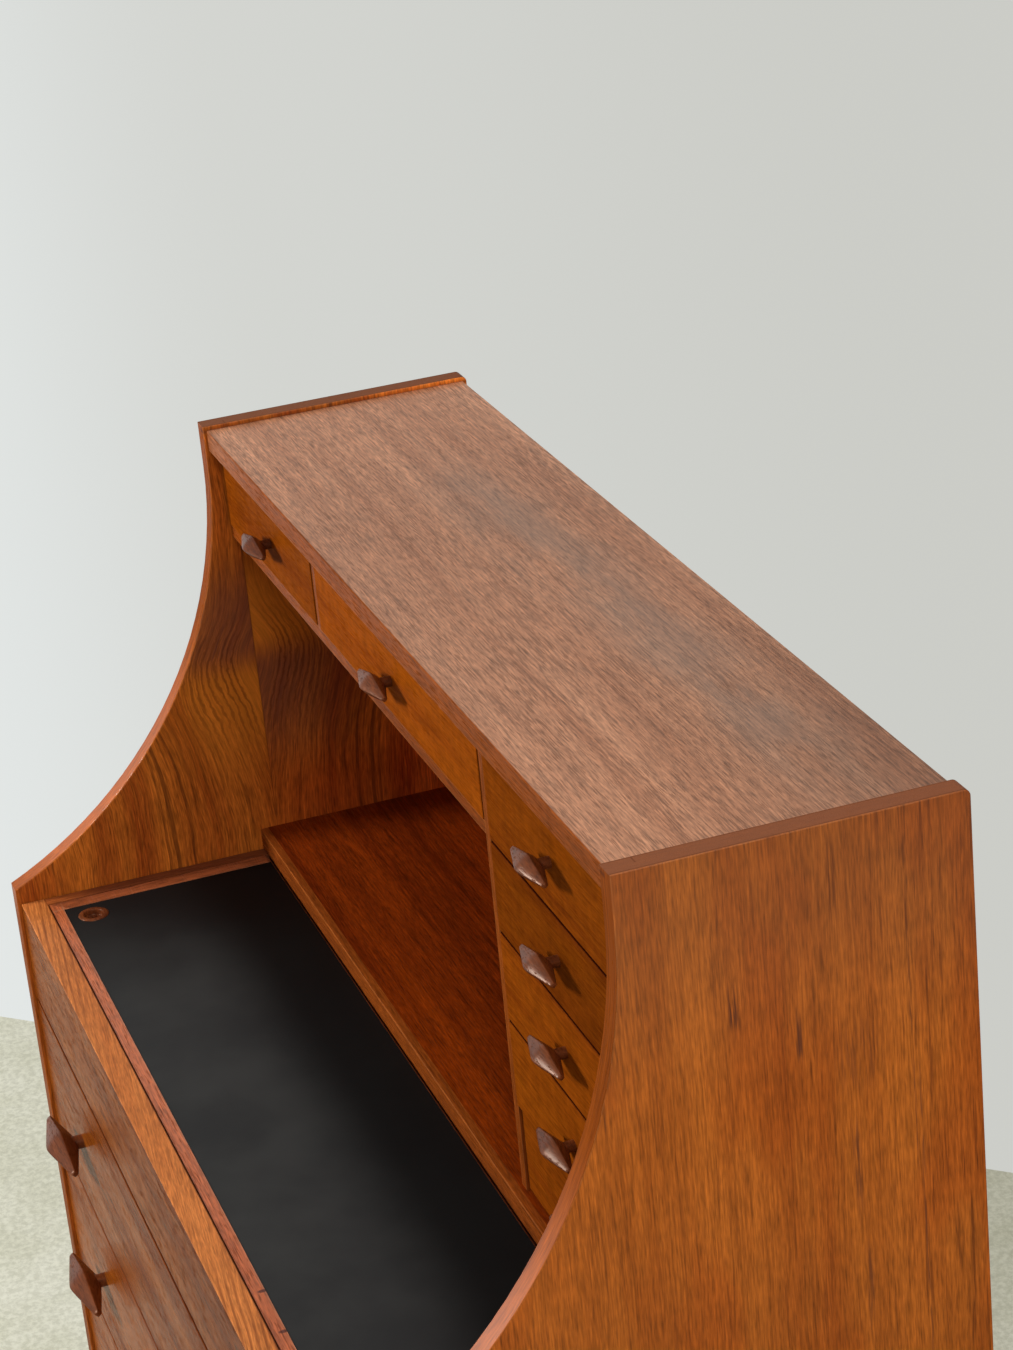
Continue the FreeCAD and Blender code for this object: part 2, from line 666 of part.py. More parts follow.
keep("deck_surface", board(
    "deck_surface",
    (f"-{TRAY_INNER}", forward(DECK_FRONT), below(f"({LEAF_TOP} + surface_sink + surface_thickness)")),
    (f"2 * {TRAY_INNER}", DECK_RUN, "surface_thickness")))
REST_LOW = f"({LEAF_LOW} - rest_gap - rest_width)"
REST_RUN = f"({TRAY_BACK} - {PIVOT_DEPTH})"
keep("leaf_rests", group("leaf_rests", [
    board("front_rest", (f"-{TRAY_INNER}", forward(TRAY_BACK), REST_LOW),
          (f"2 * {TRAY_INNER}", "rest_width", "rest_width")),
    board("left_rest", (f"-{TRAY_INNER}", forward(f"{TRAY_BACK} - rest_width"), REST_LOW),
          ("rest_width", f"{REST_RUN} - rest_width", "rest_width")),
    board("right_rest", (f"{TRAY_INNER} - rest_width", forward(f"{TRAY_BACK} - rest_width"), REST_LOW),
          ("rest_width", f"{REST_RUN} - rest_width", "rest_width"))]))
keep("leaf_pivots", group("leaf_pivots", [
    pivot("left_pivot", TRAY_LEFT, "pivot_radius", "tray_side_thickness + leaf_gap + pivot_grip"),
    pivot("right_pivot", f"({TRAY_INNER} - leaf_gap - pivot_grip)", "pivot_radius",
          "tray_side_thickness + leaf_gap + pivot_grip")]))


# ---------------------------------------------------------------- writing leaf
LEAF_HALF = f"({TRAY_INNER} - leaf_gap)"
LEAF_RUN = f"({TRAY_BACK} - leaf_gap - {PIVOT_DEPTH})"
CUP_X = f"({LEAF_HALF} - leaf_end - cup_inset)"
CUP_DEPTH = f"({TRAY_BACK} - leaf_gap - leaf_edge - cup_inset)"


def leaf_core():
    """The leaf: its rear edge is half round about the pivots, its top sunk for the writing surface."""
    body = doc.addObject("PartDesign::Body", "leaf_core")
    sketch = sketch_on(body, "YZ_Plane", "leaf_outline")
    half = sheet.get("leaf_thickness") / 2
    run = 30 * half
    corners = [Vector(0, -half), Vector(-run, -half), Vector(-run, half), Vector(0, half)]
    for first, last in ((0, 1), (1, 2), (2, 3)):
        sketch.addGeometry(Part.LineSegment(corners[first], corners[last]))
    circle = Part.Circle(Vector(0, 0), Vector(0, 0, 1), half)
    sketch.addGeometry(Part.ArcOfCircle(circle, -math.pi / 2, math.pi / 2))
    under, front, top, rear = range(4)
    for first, last in ((under, front), (front, top)):
        sketch.addConstraint(Sketcher.Constraint("Coincident", first, 2, last, 1))
    sketch.addConstraint(Sketcher.Constraint("Tangent", rear, 1, under, 1))
    sketch.addConstraint(Sketcher.Constraint("Tangent", rear, 2, top, 2))
    sketch.addConstraint(Sketcher.Constraint("Horizontal", under))
    sketch.addConstraint(Sketcher.Constraint("Vertical", front))
    sketch.addConstraint(Sketcher.Constraint("Coincident", rear, 3, -1, 1))
    constrain(sketch, "leaf_thickness / 2", "Radius", rear, half)
    constrain(sketch, LEAF_RUN, "DistanceX", under, 2, under, 1, run)
    pad = body.newObject("PartDesign::Pad", "leaf_pad")
    pad.Profile = sketch
    pad.setExpression("Length", bound(f"2 * {LEAF_HALF}"))
    place(body, (f"-{LEAF_HALF}", forward(PIVOT_DEPTH), PIVOT_Z))
    return body


def cup_places(name, radius, length, z):
    return [cylinder(f"{name}_{hand}", (x, forward(CUP_DEPTH), z), radius, length, "z")
            for hand, x in (("left", f"-{CUP_X}"), ("right", CUP_X))]


SURFACE_LOW = below(f"({LEAF_TOP} + surface_sink + surface_thickness)")
SURFACE_SIZE = (f"2 * ({LEAF_HALF} - leaf_end)", f"{LEAF_RUN} - leaf_edge + surface_reach")
SURFACE_FRONT = forward(f"{PIVOT_DEPTH} + {LEAF_RUN} - leaf_edge")
SURFACE_CORNER = (f"-({LEAF_HALF} - leaf_end)", SURFACE_FRONT, SURFACE_LOW)
recess = board("surface_recess", SURFACE_CORNER, SURFACE_SIZE + ("surface_thickness + surface_sink",))
CUP_FOOT = below(f"({LEAF_TOP} + surface_sink + cup_depth)")
leaf_bores = [pivot(f"{hand}_bore", x, "pivot_radius + pivot_play", "pivot_grip + slip")
              for hand, x in (("left", f"-{LEAF_HALF}"), ("right", f"({LEAF_HALF} - pivot_grip - slip)"))]
leaf_tools = [recess] + leaf_bores + cup_places("cup_socket", "cup_bore", "cup_depth", CUP_FOOT)
keep("leaf_frame", cut("leaf_frame", leaf_core(), group("leaf_tools", leaf_tools)))
surface = board("surface_sheet", SURFACE_CORNER, SURFACE_SIZE + ("surface_thickness",))
keep("leaf_surface", cut("leaf_surface", surface, group("surface_holes", cup_places(
    "surface_hole", "cup_bore", "surface_thickness", SURFACE_LOW))))


def finger_cup(name, x):
    """A turned finger cup: a dished body let into the leaf, with a rim on the writing surface."""
    rim_low = below(f"({LEAF_TOP} + surface_sink)")
    stem = cylinder(f"{name}_stem", (x, forward(CUP_DEPTH), CUP_FOOT), "cup_bore", "cup_depth", "z")
    rim = cylinder(f"{name}_rim", (x, forward(CUP_DEPTH), rim_low), "cup_radius", "cup_proud", "z")
    dish = cylinder(f"{name}_dish", (x, forward(CUP_DEPTH), f"{CUP_FOOT} + cup_floor"), "cup_dish",
                    "cup_depth - cup_floor + cup_proud", "z")
    return cut(name, fused(f"{name}_blank", [stem, rim]), dish)


keep("finger_cups", group("finger_cups", [
    finger_cup("left_cup", f"-{CUP_X}"),
    finger_cup("right_cup", CUP_X)]))


# ---------------------------------------------------------------- runners
keep("upper_runners", group("upper_runners", runners["upper"]))
keep("lower_runners", group("lower_runners", runners["lower"]))
keep("tray_runners", group("tray_runners", tray_runners))


# ---------------------------------------------------------------- legs
# Turned legs taper to the floor and splay outwards, each under a block screwed to the case bottom.
LEG_TOP = f"({below(CASE_UNDER)} - block_thickness)"
LEG_MIDDLE_Y = f"(({forward(LOWER_FRONT)} + {forward('back_inset')}) / 2)"
LEG_HALF_X = "(width / 2 - leg_inset)"
LEG_HALF_Y = f"(({LOWER_FRONT} - back_inset) / 2 - leg_inset)"
# A leg is turned a tenth too long and cut level with the floor.
LEG_SPARE = 1.1
legs = []
blocks = []
for side_x in (-1, 1):
    for side_y in (-1, 1):
        top_x = f"({side_x} * {LEG_HALF_X})"
        top_y = f"({LEG_MIDDLE_Y} + {side_y} * {LEG_HALF_Y})"
        blocks.append(board(
            "leg_block",
            (f"{top_x} - block_size / 2", f"{top_y} - block_size / 2", LEG_TOP),
            ("block_size", "block_size", "block_thickness")))
        cone = doc.addObject("Part::Cone", "leg_cone")
        cone.setExpression("Radius1", bound("leg_top_radius"))
        cone.setExpression("Radius2", bound("leg_foot_radius"))
        cone.setExpression("Height", bound(f"{LEG_TOP} * {LEG_SPARE}"))
        cone.Placement.Rotation = Rotation(Vector(side_y, -side_x, 0), 180 + sheet.get("leg_splay"))
        place(cone, (top_x, top_y, LEG_TOP))
        slab = board("leg_slab", (f"{top_x} - width / 4", f"{top_y} - width / 4", "0"),
                     ("width / 2", "width / 2", LEG_TOP))
        leg = doc.addObject("Part::Common", "leg")
        leg.Base = cone
        leg.Tool = slab
        legs.append(leg)
keep("legs", group("legs", legs))
keep("leg_blocks", group("leg_blocks", blocks))


# ---------------------------------------------------------------- check and write
doc.recompute()
for item in doc.Objects:
    if {"Invalid", "Error"} & set(item.State):
        raise RuntimeError(f"{item.Label} failed: {item.State}")
os.makedirs("parts", exist_ok=True)
for name, piece in nodes.items():
    shape = piece.Shape
    if shape.isNull() or not shape.isValid() or not shape.Solids:
        raise RuntimeError(f"{name} has no sound solid")
    shape.exportStep(f"parts/{name}.step")
print(len(nodes), "nodes written")
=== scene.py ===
"""The looks of the teak secretary desk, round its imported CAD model. Metres, X right, Y to the back, Z up."""
import math

import bpy
from mathutils import Matrix, Vector


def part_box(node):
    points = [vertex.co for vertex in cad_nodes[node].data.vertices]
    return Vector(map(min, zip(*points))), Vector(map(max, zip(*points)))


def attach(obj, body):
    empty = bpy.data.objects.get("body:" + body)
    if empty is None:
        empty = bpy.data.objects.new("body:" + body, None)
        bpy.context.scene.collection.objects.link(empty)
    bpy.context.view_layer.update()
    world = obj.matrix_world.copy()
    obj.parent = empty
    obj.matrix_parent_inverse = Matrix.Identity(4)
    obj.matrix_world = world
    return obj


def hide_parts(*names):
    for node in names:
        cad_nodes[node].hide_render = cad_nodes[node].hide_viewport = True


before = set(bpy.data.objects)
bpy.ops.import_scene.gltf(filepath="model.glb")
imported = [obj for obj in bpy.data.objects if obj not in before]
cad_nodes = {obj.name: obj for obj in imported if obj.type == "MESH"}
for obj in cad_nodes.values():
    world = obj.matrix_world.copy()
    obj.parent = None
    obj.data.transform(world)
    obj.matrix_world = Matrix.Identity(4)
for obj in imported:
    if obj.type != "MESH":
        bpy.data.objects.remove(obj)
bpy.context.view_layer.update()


# ---------------------------------------------------------------- camera, light and room
# The camera stands off the right end of the desk, above it, and is turned a little about its own axis. A
# small window on the left, a wide skylight and the bright room behind the camera light the desk.
CAMERA_PLACE = Vector((2.19995, -0.5695, 2.04104))
AZIMUTH, ELEVATION, ROLL = (math.radians(angle) for angle in (72.89, 22.81, -5.68))


def stand(name, data):
    """An object in the scene."""
    item = bpy.data.objects.new(name, data)
    bpy.context.scene.collection.objects.link(item)
    return item


camera = stand("camera", bpy.data.cameras.new("camera"))
camera.data.sensor_width = 36
camera.data.lens = 88.8
camera.matrix_world = (
    Matrix.Translation(CAMERA_PLACE)
    @ Matrix.Rotation(AZIMUTH, 4, "Z")
    @ Matrix.Rotation(math.pi / 2 - ELEVATION, 4, "X")
    @ Matrix.Rotation(ROLL, 4, "Z"))
bpy.context.scene.camera = camera
bpy.context.scene.view_settings.view_transform = "Standard"


def lamp(name, place, target, size, watts, colour):
    """A soft square lamp that faces a point."""
    light = bpy.data.lights.new(name, "AREA")
    light.size = size
    light.energy = watts
    light.color = colour
    aim = (Vector(target) - Vector(place)).to_track_quat("-Z", "Y")
    stand(name, light).matrix_world = Matrix.Translation(place) @ aim.to_matrix().to_4x4()


lamp("window", (-0.87, -1.82, 1.64), (0, 0, 0.95), 0.4, 36, (1, 0.96, 0.91))
lamp("skylight", (2.3, 0, 3.2), (0, 0, 0.9), 2.0, 64, (1, 0.98, 0.95))
lamp("room", (2.6, -0.5, 1.8), (-0.4, 0, 0.9), 1.0, 10, (1, 0.98, 0.95))


def put(tree, kind, sockets=(), **settings):
    """Add a node. Each socket, in order, takes a value, a node or an output, or None to leave it alone."""
    item = tree.nodes.new(kind)
    for name, value in settings.items():
        setattr(item, name, value)
    for socket, value in zip(item.inputs, sockets):
        join(tree, socket, value)
    return item


def join(tree, socket, value):
    """Link a node or an output to a socket, or set the socket's own value."""
    if value is None:
        return
    if isinstance(value, bpy.types.Node):
        value = next(output for output in value.outputs if output.enabled)
    if isinstance(value, bpy.types.NodeSocket):
        tree.links.new(value, socket)
    else:
        socket.default_value = value


def sums(tree, operation, *values):
    return put(tree, "ShaderNodeMath", values, operation=operation)


def times(tree, first, *others):
    """The product of two or more values."""
    for other in others:
        first = sums(tree, "MULTIPLY", first, other)
    return first


def minus(tree, first, second):
    return sums(tree, "SUBTRACT", first, second)


def slope(tree, value, factor, start):
    """A value times a factor, plus a start."""
    return sums(tree, "MULTIPLY_ADD", value, factor, start)


def apart(tree, first, second):
    """The distance between two values."""
    return sums(tree, "ABSOLUTE", minus(tree, first, second))


def vectors(tree, operation, *values):
    return put(tree, "ShaderNodeVectorMath", values, operation=operation)


def scaled(tree, vector, factor):
    """A vector or a colour, times a fixed scale along each axis or times one value."""
    if isinstance(factor, tuple):
        return vectors(tree, "MULTIPLY", vector, factor)
    item = vectors(tree, "SCALE", vector)
    join(tree, item.inputs["Scale"], factor)
    return item


def split(tree, vector):
    """The X, Y and Z of a vector."""
    return put(tree, "ShaderNodeSeparateXYZ", (vector,)).outputs


def step(tree, value, low, high):
    """A smooth rise from 0 at low to 1 at high."""
    return put(tree, "ShaderNodeMapRange", (value, low, high, 0, 1), interpolation_type="SMOOTHSTEP")


def tint(tree, amount, first, second, how="MIX"):
    """Two colours mixed by an amount."""
    item = tree.nodes.new("ShaderNodeMix")
    item.data_type = "RGBA"
    item.blend_type = how
    for index, value in ((0, amount), (6, first), (7, second)):
        join(tree, item.inputs[index], value)
    return item


def noise(tree, vector, scale, detail=2, rough=0.5):
    return put(tree, "ShaderNodeTexNoise", (vector, None, scale, detail, rough))


def colour(red, green, blue):
    return (red, green, blue, 1)


def surface(name, roughness, specular=0.5):
    """A material, its tree, its plain shader, which the caller feeds, and the place on the object."""
    material = bpy.data.materials.new(name)
    material.use_nodes = True
    shader = material.node_tree.nodes["Principled BSDF"]
    shader.inputs["Roughness"].default_value = roughness
    shader.inputs["Specular IOR Level"].default_value = specular
    place = put(material.node_tree, "ShaderNodeTexCoord").outputs["Object"]
    return material, material.node_tree, shader, place


# The floor runs back to the foot of a wall, which stands for itself as the pale colour of the sky. Both are
# brighter towards the window, on the left.
WALL_FOOT = Vector((-1.692, -0.084, 0))
WALL_RUN = Vector((0.696, 0.718, 0))
ROOM_SIDE = Vector((0.718, -0.696, 0))
FLOOR_REACH = 9
FLOOR_GLOW = 0.55
FLOOR_CORNERS = ((-FLOOR_REACH, 0), (-FLOOR_REACH, FLOOR_REACH), (FLOOR_REACH, FLOOR_REACH), (FLOOR_REACH, 0))
floor_mesh = bpy.data.meshes.new("floor")
floor_mesh.from_pydata(
    [WALL_FOOT + WALL_RUN * along + ROOM_SIDE * out for along, out in FLOOR_CORNERS], [], [(0, 1, 2, 3)])
floor = stand("floor", floor_mesh)
floor_finish, tree, shader, place = surface("pale_floor", 0.6)
clouds = noise(tree, place, 9, 6, 0.65)
cement = tint(tree, step(tree, clouds, 0.35, 0.65), colour(0.60, 0.595, 0.48), colour(0.68, 0.675, 0.57))
gritty = step(tree, noise(tree, place, 120, 4, 0.7), 0.35, 0.65)
cement = tint(
    tree, 1, cement, tint(tree, gritty, colour(0.82, 0.82, 0.80), colour(1.04, 1.04, 1.04)), "MULTIPLY")
join(tree, shader.inputs["Base Color"], cement)
rays = put(tree, "ShaderNodeLightPath")
seen = sums(tree, "MAXIMUM", rays.outputs["Is Camera Ray"], rays.outputs["Is Glossy Ray"])
far = split(tree, place)["Y"]
glow = put(tree, "ShaderNodeEmission", (None, 1))
lit = tint(tree, 1, cement, tint(tree, step(tree, far, -0.2, 1.1), colour(1.40, 1.40, 1.38),
                                 colour(0.63, 0.62, 0.55)), "MULTIPLY")
join(tree, glow.inputs["Color"], lit)
join(tree, tree.nodes["Material Output"].inputs["Surface"],
     put(tree, "ShaderNodeMixShader", (times(tree, seen, FLOOR_GLOW), shader, glow)))
floor.data.materials.append(floor_finish)

world = bpy.data.worlds.new("room")
bpy.context.scene.world = world
world.use_nodes = True
tree = world.node_tree
rays = put(tree, "ShaderNodeLightPath")
seen = sums(tree, "MAXIMUM", rays.outputs["Is Camera Ray"], sums(
    tree, "MAXIMUM", rays.outputs["Is Glossy Ray"], rays.outputs["Is Transmission Ray"]))
ambient = tree.nodes["Background"]
ambient.inputs["Color"].default_value = colour(0.96, 0.98, 1)
ambient.inputs["Strength"].default_value = 0.22
rightward = split(tree, put(tree, "ShaderNodeTexCoord").outputs["Generated"])["Y"]
plaster = tint(
    tree, step(tree, rightward, 0.10, 0.23), colour(0.77, 0.80, 0.79), colour(0.655, 0.665, 0.635))
plaster = tint(tree, step(tree, rightward, 0.2, 0.42), plaster, colour(0.60, 0.605, 0.57))
wall = put(tree, "ShaderNodeBackground", (plaster, 1))
join(tree, tree.nodes["World Output"].inputs["Surface"], put(
    tree, "ShaderNodeMixShader", (seen, ambient, wall)))


# ---------------------------------------------------------------- teak
# Every show surface is oiled teak: ribbons of tone, dark growth lines, fine fibres and short open pores, all
# drawn out along the grain. The group works in grain space, where Z runs along the grain.
def make_group(name, inputs, outputs):
    """A shader node group with named sockets, and its two end nodes."""
    group = bpy.data.node_groups.new(name, "ShaderNodeTree")
    for label, kind, value in inputs:
        socket = group.interface.new_socket(label, in_out="INPUT", socket_type=f"NodeSocket{kind}")
        if value is not None:
            socket.default_value = value
    for label, kind in outputs:
        group.interface.new_socket(label, in_out="OUTPUT", socket_type=f"NodeSocket{kind}")
    return group, put(group, "NodeGroupInput").outputs, put(group, "NodeGroupOutput").inputs


def build_grain():
    tree, given, made = make_group(
        "wood_grain",
        [("Place", "Vector", None), ("Light", "Color", colour(0.4, 0.15, 0.05)),
         ("Dark", "Color", colour(0.25, 0.08, 0.02)), ("Line", "Color", colour(0.08, 0.025, 0.01)),
         ("Ribbons", "Float", 1), ("Lines", "Float", 0.6), ("Fibres", "Float", 0.6), ("Pores", "Float", 0.3),
         ("Mottle", "Float", 0.5), ("Wander", "Float", 0.006)],
        [("Color", "Color"), ("Height", "Float"), ("Gloss", "Float")])
    slow = noise(tree, scaled(tree, given["Place"], (1, 1, 0.3)), 6, 2)
    drift = scaled(tree, vectors(tree, "SUBTRACT", slow.outputs["Color"], (0.5, 0.5, 0.5)), given["Wander"])
    place = vectors(tree, "ADD", given["Place"], drift)
    ribbons = noise(tree, scaled(tree, place, (1, 1, 0.04)), 34, 4, 0.62)
    lines = noise(tree, scaled(tree, place, (1, 1, 0.04)), 330, 3, 0.62)
    fibres = noise(tree, scaled(tree, place, (1, 1, 0.05)), 640, 2, 0.6)
    dashes = noise(tree, scaled(tree, place, (1, 1, 0.13)), 760, 1, 0.5)
    vessels = noise(tree, scaled(tree, place, (1, 1, 0.06)), 980, 1, 0.4)
    crowd = noise(tree, scaled(tree, place, (1, 1, 0.1)), 60, 2)
    ripples = noise(tree, scaled(tree, place, (0.6, 0.6, 1)), 85, 2, 0.5)
    pores = step(tree, slope(tree, crowd, 0.3, vessels), 0.72, 0.80)
    spread = slope(tree, minus(tree, ribbons, 0.5), times(tree, given["Ribbons"], 3.2), 0.5)
    tone = tint(
        tree, sums(tree, "MINIMUM", sums(tree, "MAXIMUM", spread, 0), 1), given["Light"], given["Dark"])
    tone = tint(tree, times(tree, step(tree, lines, 0.55, 0.66), given["Lines"]), tone, given["Line"])
    tone = tint(tree, times(tree, step(tree, lines, 0.46, 0.30), 0.5), tone, given["Light"])
    fine = sums(
        tree, "ADD", times(tree, minus(tree, fibres, 0.5), 2.2), times(tree, minus(tree, dashes, 0.5), 1.5))
    shade = slope(tree, minus(tree, ripples, 0.5), given["Mottle"], slope(tree, fine, given["Fibres"], 1))
    tone = scaled(tree, tone, sums(tree, "MAXIMUM", shade, 0.1))
    tone = tint(tree, times(tree, pores, given["Pores"]), tone, given["Line"])
    join(tree, made["Color"], tone)
    join(tree, made["Height"], minus(tree, times(tree, fibres, 0.8), pores))
    join(tree, made["Gloss"], slope(tree, ribbons, 0.2, slope(tree, pores, 0.3, -0.1)))
    return tree


GRAIN = build_grain()


# Hands and dusters round the arrises and rub the finish off them, so they show paler than the faces. The
# paleness is also a painted highlight, for the light that the rounded arrises catch.
def build_edge_wear_and_highlight():
    tree, given, made = make_group(
        "edge_wear_and_highlight",
        [("Place", "Vector", None), ("Low", "Vector", (0, 0, 0)), ("High", "Vector", (1, 1, 1)),
         ("Width", "Float", 0.0012)],
        [("Wear and highlight", "Float")])
    near = vectors(tree, "ABSOLUTE", vectors(
        tree, "MINIMUM", vectors(tree, "SUBTRACT", given["Place"], given["Low"]),
        vectors(tree, "SUBTRACT", given["High"], given["Place"])))
    x, y, z = split(tree, near)
    middle = sums(
        tree, "MAXIMUM", sums(tree, "MINIMUM", x, y), sums(tree, "MINIMUM", sums(tree, "MAXIMUM", x, y), z))
    patchy = noise(tree, given["Place"], 90, 3)
    width = times(tree, given["Width"], slope(tree, patchy, 1.6, 0.3))
    join(tree, made["Wear and highlight"], minus(tree, 1, sums(tree, "MINIMUM", sums(tree, "DIVIDE", middle, width), 1)))
    return tree


EDGE_WEAR_AND_HIGHLIGHT = build_edge_wear_and_highlight()

# Angles that turn a grain along X or Y into grain space, with Z along the grain.
ALONG = {"x": (0, math.pi / 2, 0), "y": (math.pi / 2, 0, 0), "z": (0, 0, 0)}


def use(tree, group, **sockets):
    """Place a group with its named inputs."""
    item = tree.nodes.new("ShaderNodeGroup")
    item.node_tree = group
    for label, value in sockets.items():
        join(tree, item.inputs[label], value)
    return item


def timber(tree, place, along, tones, shift=(0, 0, 0), **grain):
    """The grain of one board, along one axis."""
    turned = put(tree, "ShaderNodeMapping", (place, shift, ALONG[along]))
    return use(tree, GRAIN, Place=turned, **tones, **grain)


def three_tones(light, dark, line=(0.115, 0.025, 0.005)):
    return {"Light": colour(*light), "Dark": colour(*dark), "Line": colour(*line)}


TEAK = three_tones((0.50, 0.135, 0.016), (0.29, 0.066, 0.007))
# Rubbed arrises, whose pale colour also serves as a painted highlight.
WORN_AND_HIGHLIT_TEAK = colour(0.52, 0.21, 0.075)


def emboss(tree, shader, height, strength, relief):
    """Relief for a surface."""
    bump = put(tree, "ShaderNodeBump")
    bump.inputs["Strength"].default_value = strength
    bump.inputs["Distance"].default_value = relief
    join(tree, bump.inputs["Height"], height)
    join(tree, shader.inputs["Normal"], bump)


def feed(tree, shader, tone, wood, roughness, relief=0.00012, groove=0):
    """Colour, sheen and relief for a wood surface, with a groove where that value is 1."""
    join(tree, shader.inputs["Base Color"], tone)
    join(tree, shader.inputs["Roughness"], sums(tree, "ADD", wood.outputs["Gloss"], roughness))
    emboss(tree, shader, minus(tree, wood.outputs["Height"], groove), 0.6, relief)


def board_finish(node, along, tones=TEAK, roughness=0.36, specular=0.25, wear_and_highlight=0.4, overtone=WORN_AND_HIGHLIT_TEAK, **grain):
    """Wood for one straight board, grain along one axis, with arrises rubbed and painted with a highlight."""
    material, tree, shader, place = surface(f"{node}_wood", roughness, specular)
    low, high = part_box(node)
    wood = timber(tree, place, along, tones, **grain)
    edge = use(tree, EDGE_WEAR_AND_HIGHLIGHT, Place=place, Low=low, High=high)
    tone = tint(tree, times(tree, edge, wear_and_highlight), wood, overtone)
    feed(tree, shader, tone, wood, roughness)
    return material


def dress(node, material):
    """Give a CAD node its finish."""
    mesh = cad_nodes[node].data
    mesh.materials.clear()
    mesh.materials.append(material)


# ---------------------------------------------------------------- side panels
# Veneered boards, 18.5 mm thick, with a solid teak lipping round their edges. The front is sawn to one round
# sweep, and the inner faces have two mirrored leaves of veneer that meet in a seam.
SWEEP_RADIUS = 0.386
SWEEP_START = 0.040
UPPER_DEPTH = 0.2405
VENEER = 0.0006
SEAM_Y = 0.026
FLAME_Z = 0.930
FLAME_OVER = 0.045
FLAME_UNDER = 0.080
FLAME_BULGE = 0.037
FLAME_SWIRL = 0.060
FIGURED = three_tones((0.42, 0.112, 0.013), (0.25, 0.048, 0.006), (0.070, 0.016, 0.004))
FLAME_SHEEN_DARK = colour(0.115, 0.040, 0.026)
FLAME_SHEEN_GOLD = colour(0.56, 0.175, 0.016)
LIPPING_TEAK = three_tones((0.34, 0.078, 0.008), (0.23, 0.047, 0.005))
BRUISE = colour(0.11, 0.031, 0.013)
GREY_FADE = colour(0.22, 0.12, 0.085)
GREYER_TOP_EDGE = colour(0.26, 0.100, 0.052)
SHADED_LIP = colour(0.075, 0.018, 0.008)
# Colours that multiply the veneer's own: a flush in patches, and the shade low on either face.
FLUSH = colour(0.88, 0.74, 0.65)
LOW_OUTSIDE = colour(0.90, 0.84, 0.62)
LOW_INSIDE = colour(0.88, 0.66, 0.72)
# Single dark growth lines on the inner face: where each lies along Y, half its width, and its strength.
DARK_LINES = ((0.119, 0.0012, 0.65), (0.126, 0.0008, 0.5), (0.104, 0.0008, 0.45))
# Marks of age on the outer face: where each lies along Y and Z, half its size each way, and its strength.
MARKS = (
    (0.078, 1.038, 0.005, 0.020, 1.0), (0.121, 1.006, 0.003, 0.022, 0.9), (0.149, 1.112, 0.004, 0.034, 0.8),
    (0.160, 0.985, 0.020, 0.030, 0.4), (-0.013, 0.984, 0.003, 0.010, 0.6), (0.156, 0.905, 0.003, 0.045, 0.7),
    (0.160, 0.814, 0.003, 0.040, 0.7), (0.198, 1.02, 0.0012, 0.16, 0.8), (0.202, 0.86, 0.0012, 0.15, 0.8))


def spot(tree, along, up, mark, outside=1.3, inside=0.3):
    """An oval patch on a face, which fades from its inside to its outside, both in shares of its size."""
    mark_along, mark_up, half_along, half_up, strength = mark
    reach = put(tree, "ShaderNodeCombineXYZ", (
        sums(tree, "DIVIDE", minus(tree, along, mark_along), half_along),
        sums(tree, "DIVIDE", minus(tree, up, mark_up), half_up), 0))
    length = vectors(tree, "LENGTH", reach).outputs["Value"]
    return times(tree, step(tree, length, outside, inside), strength)


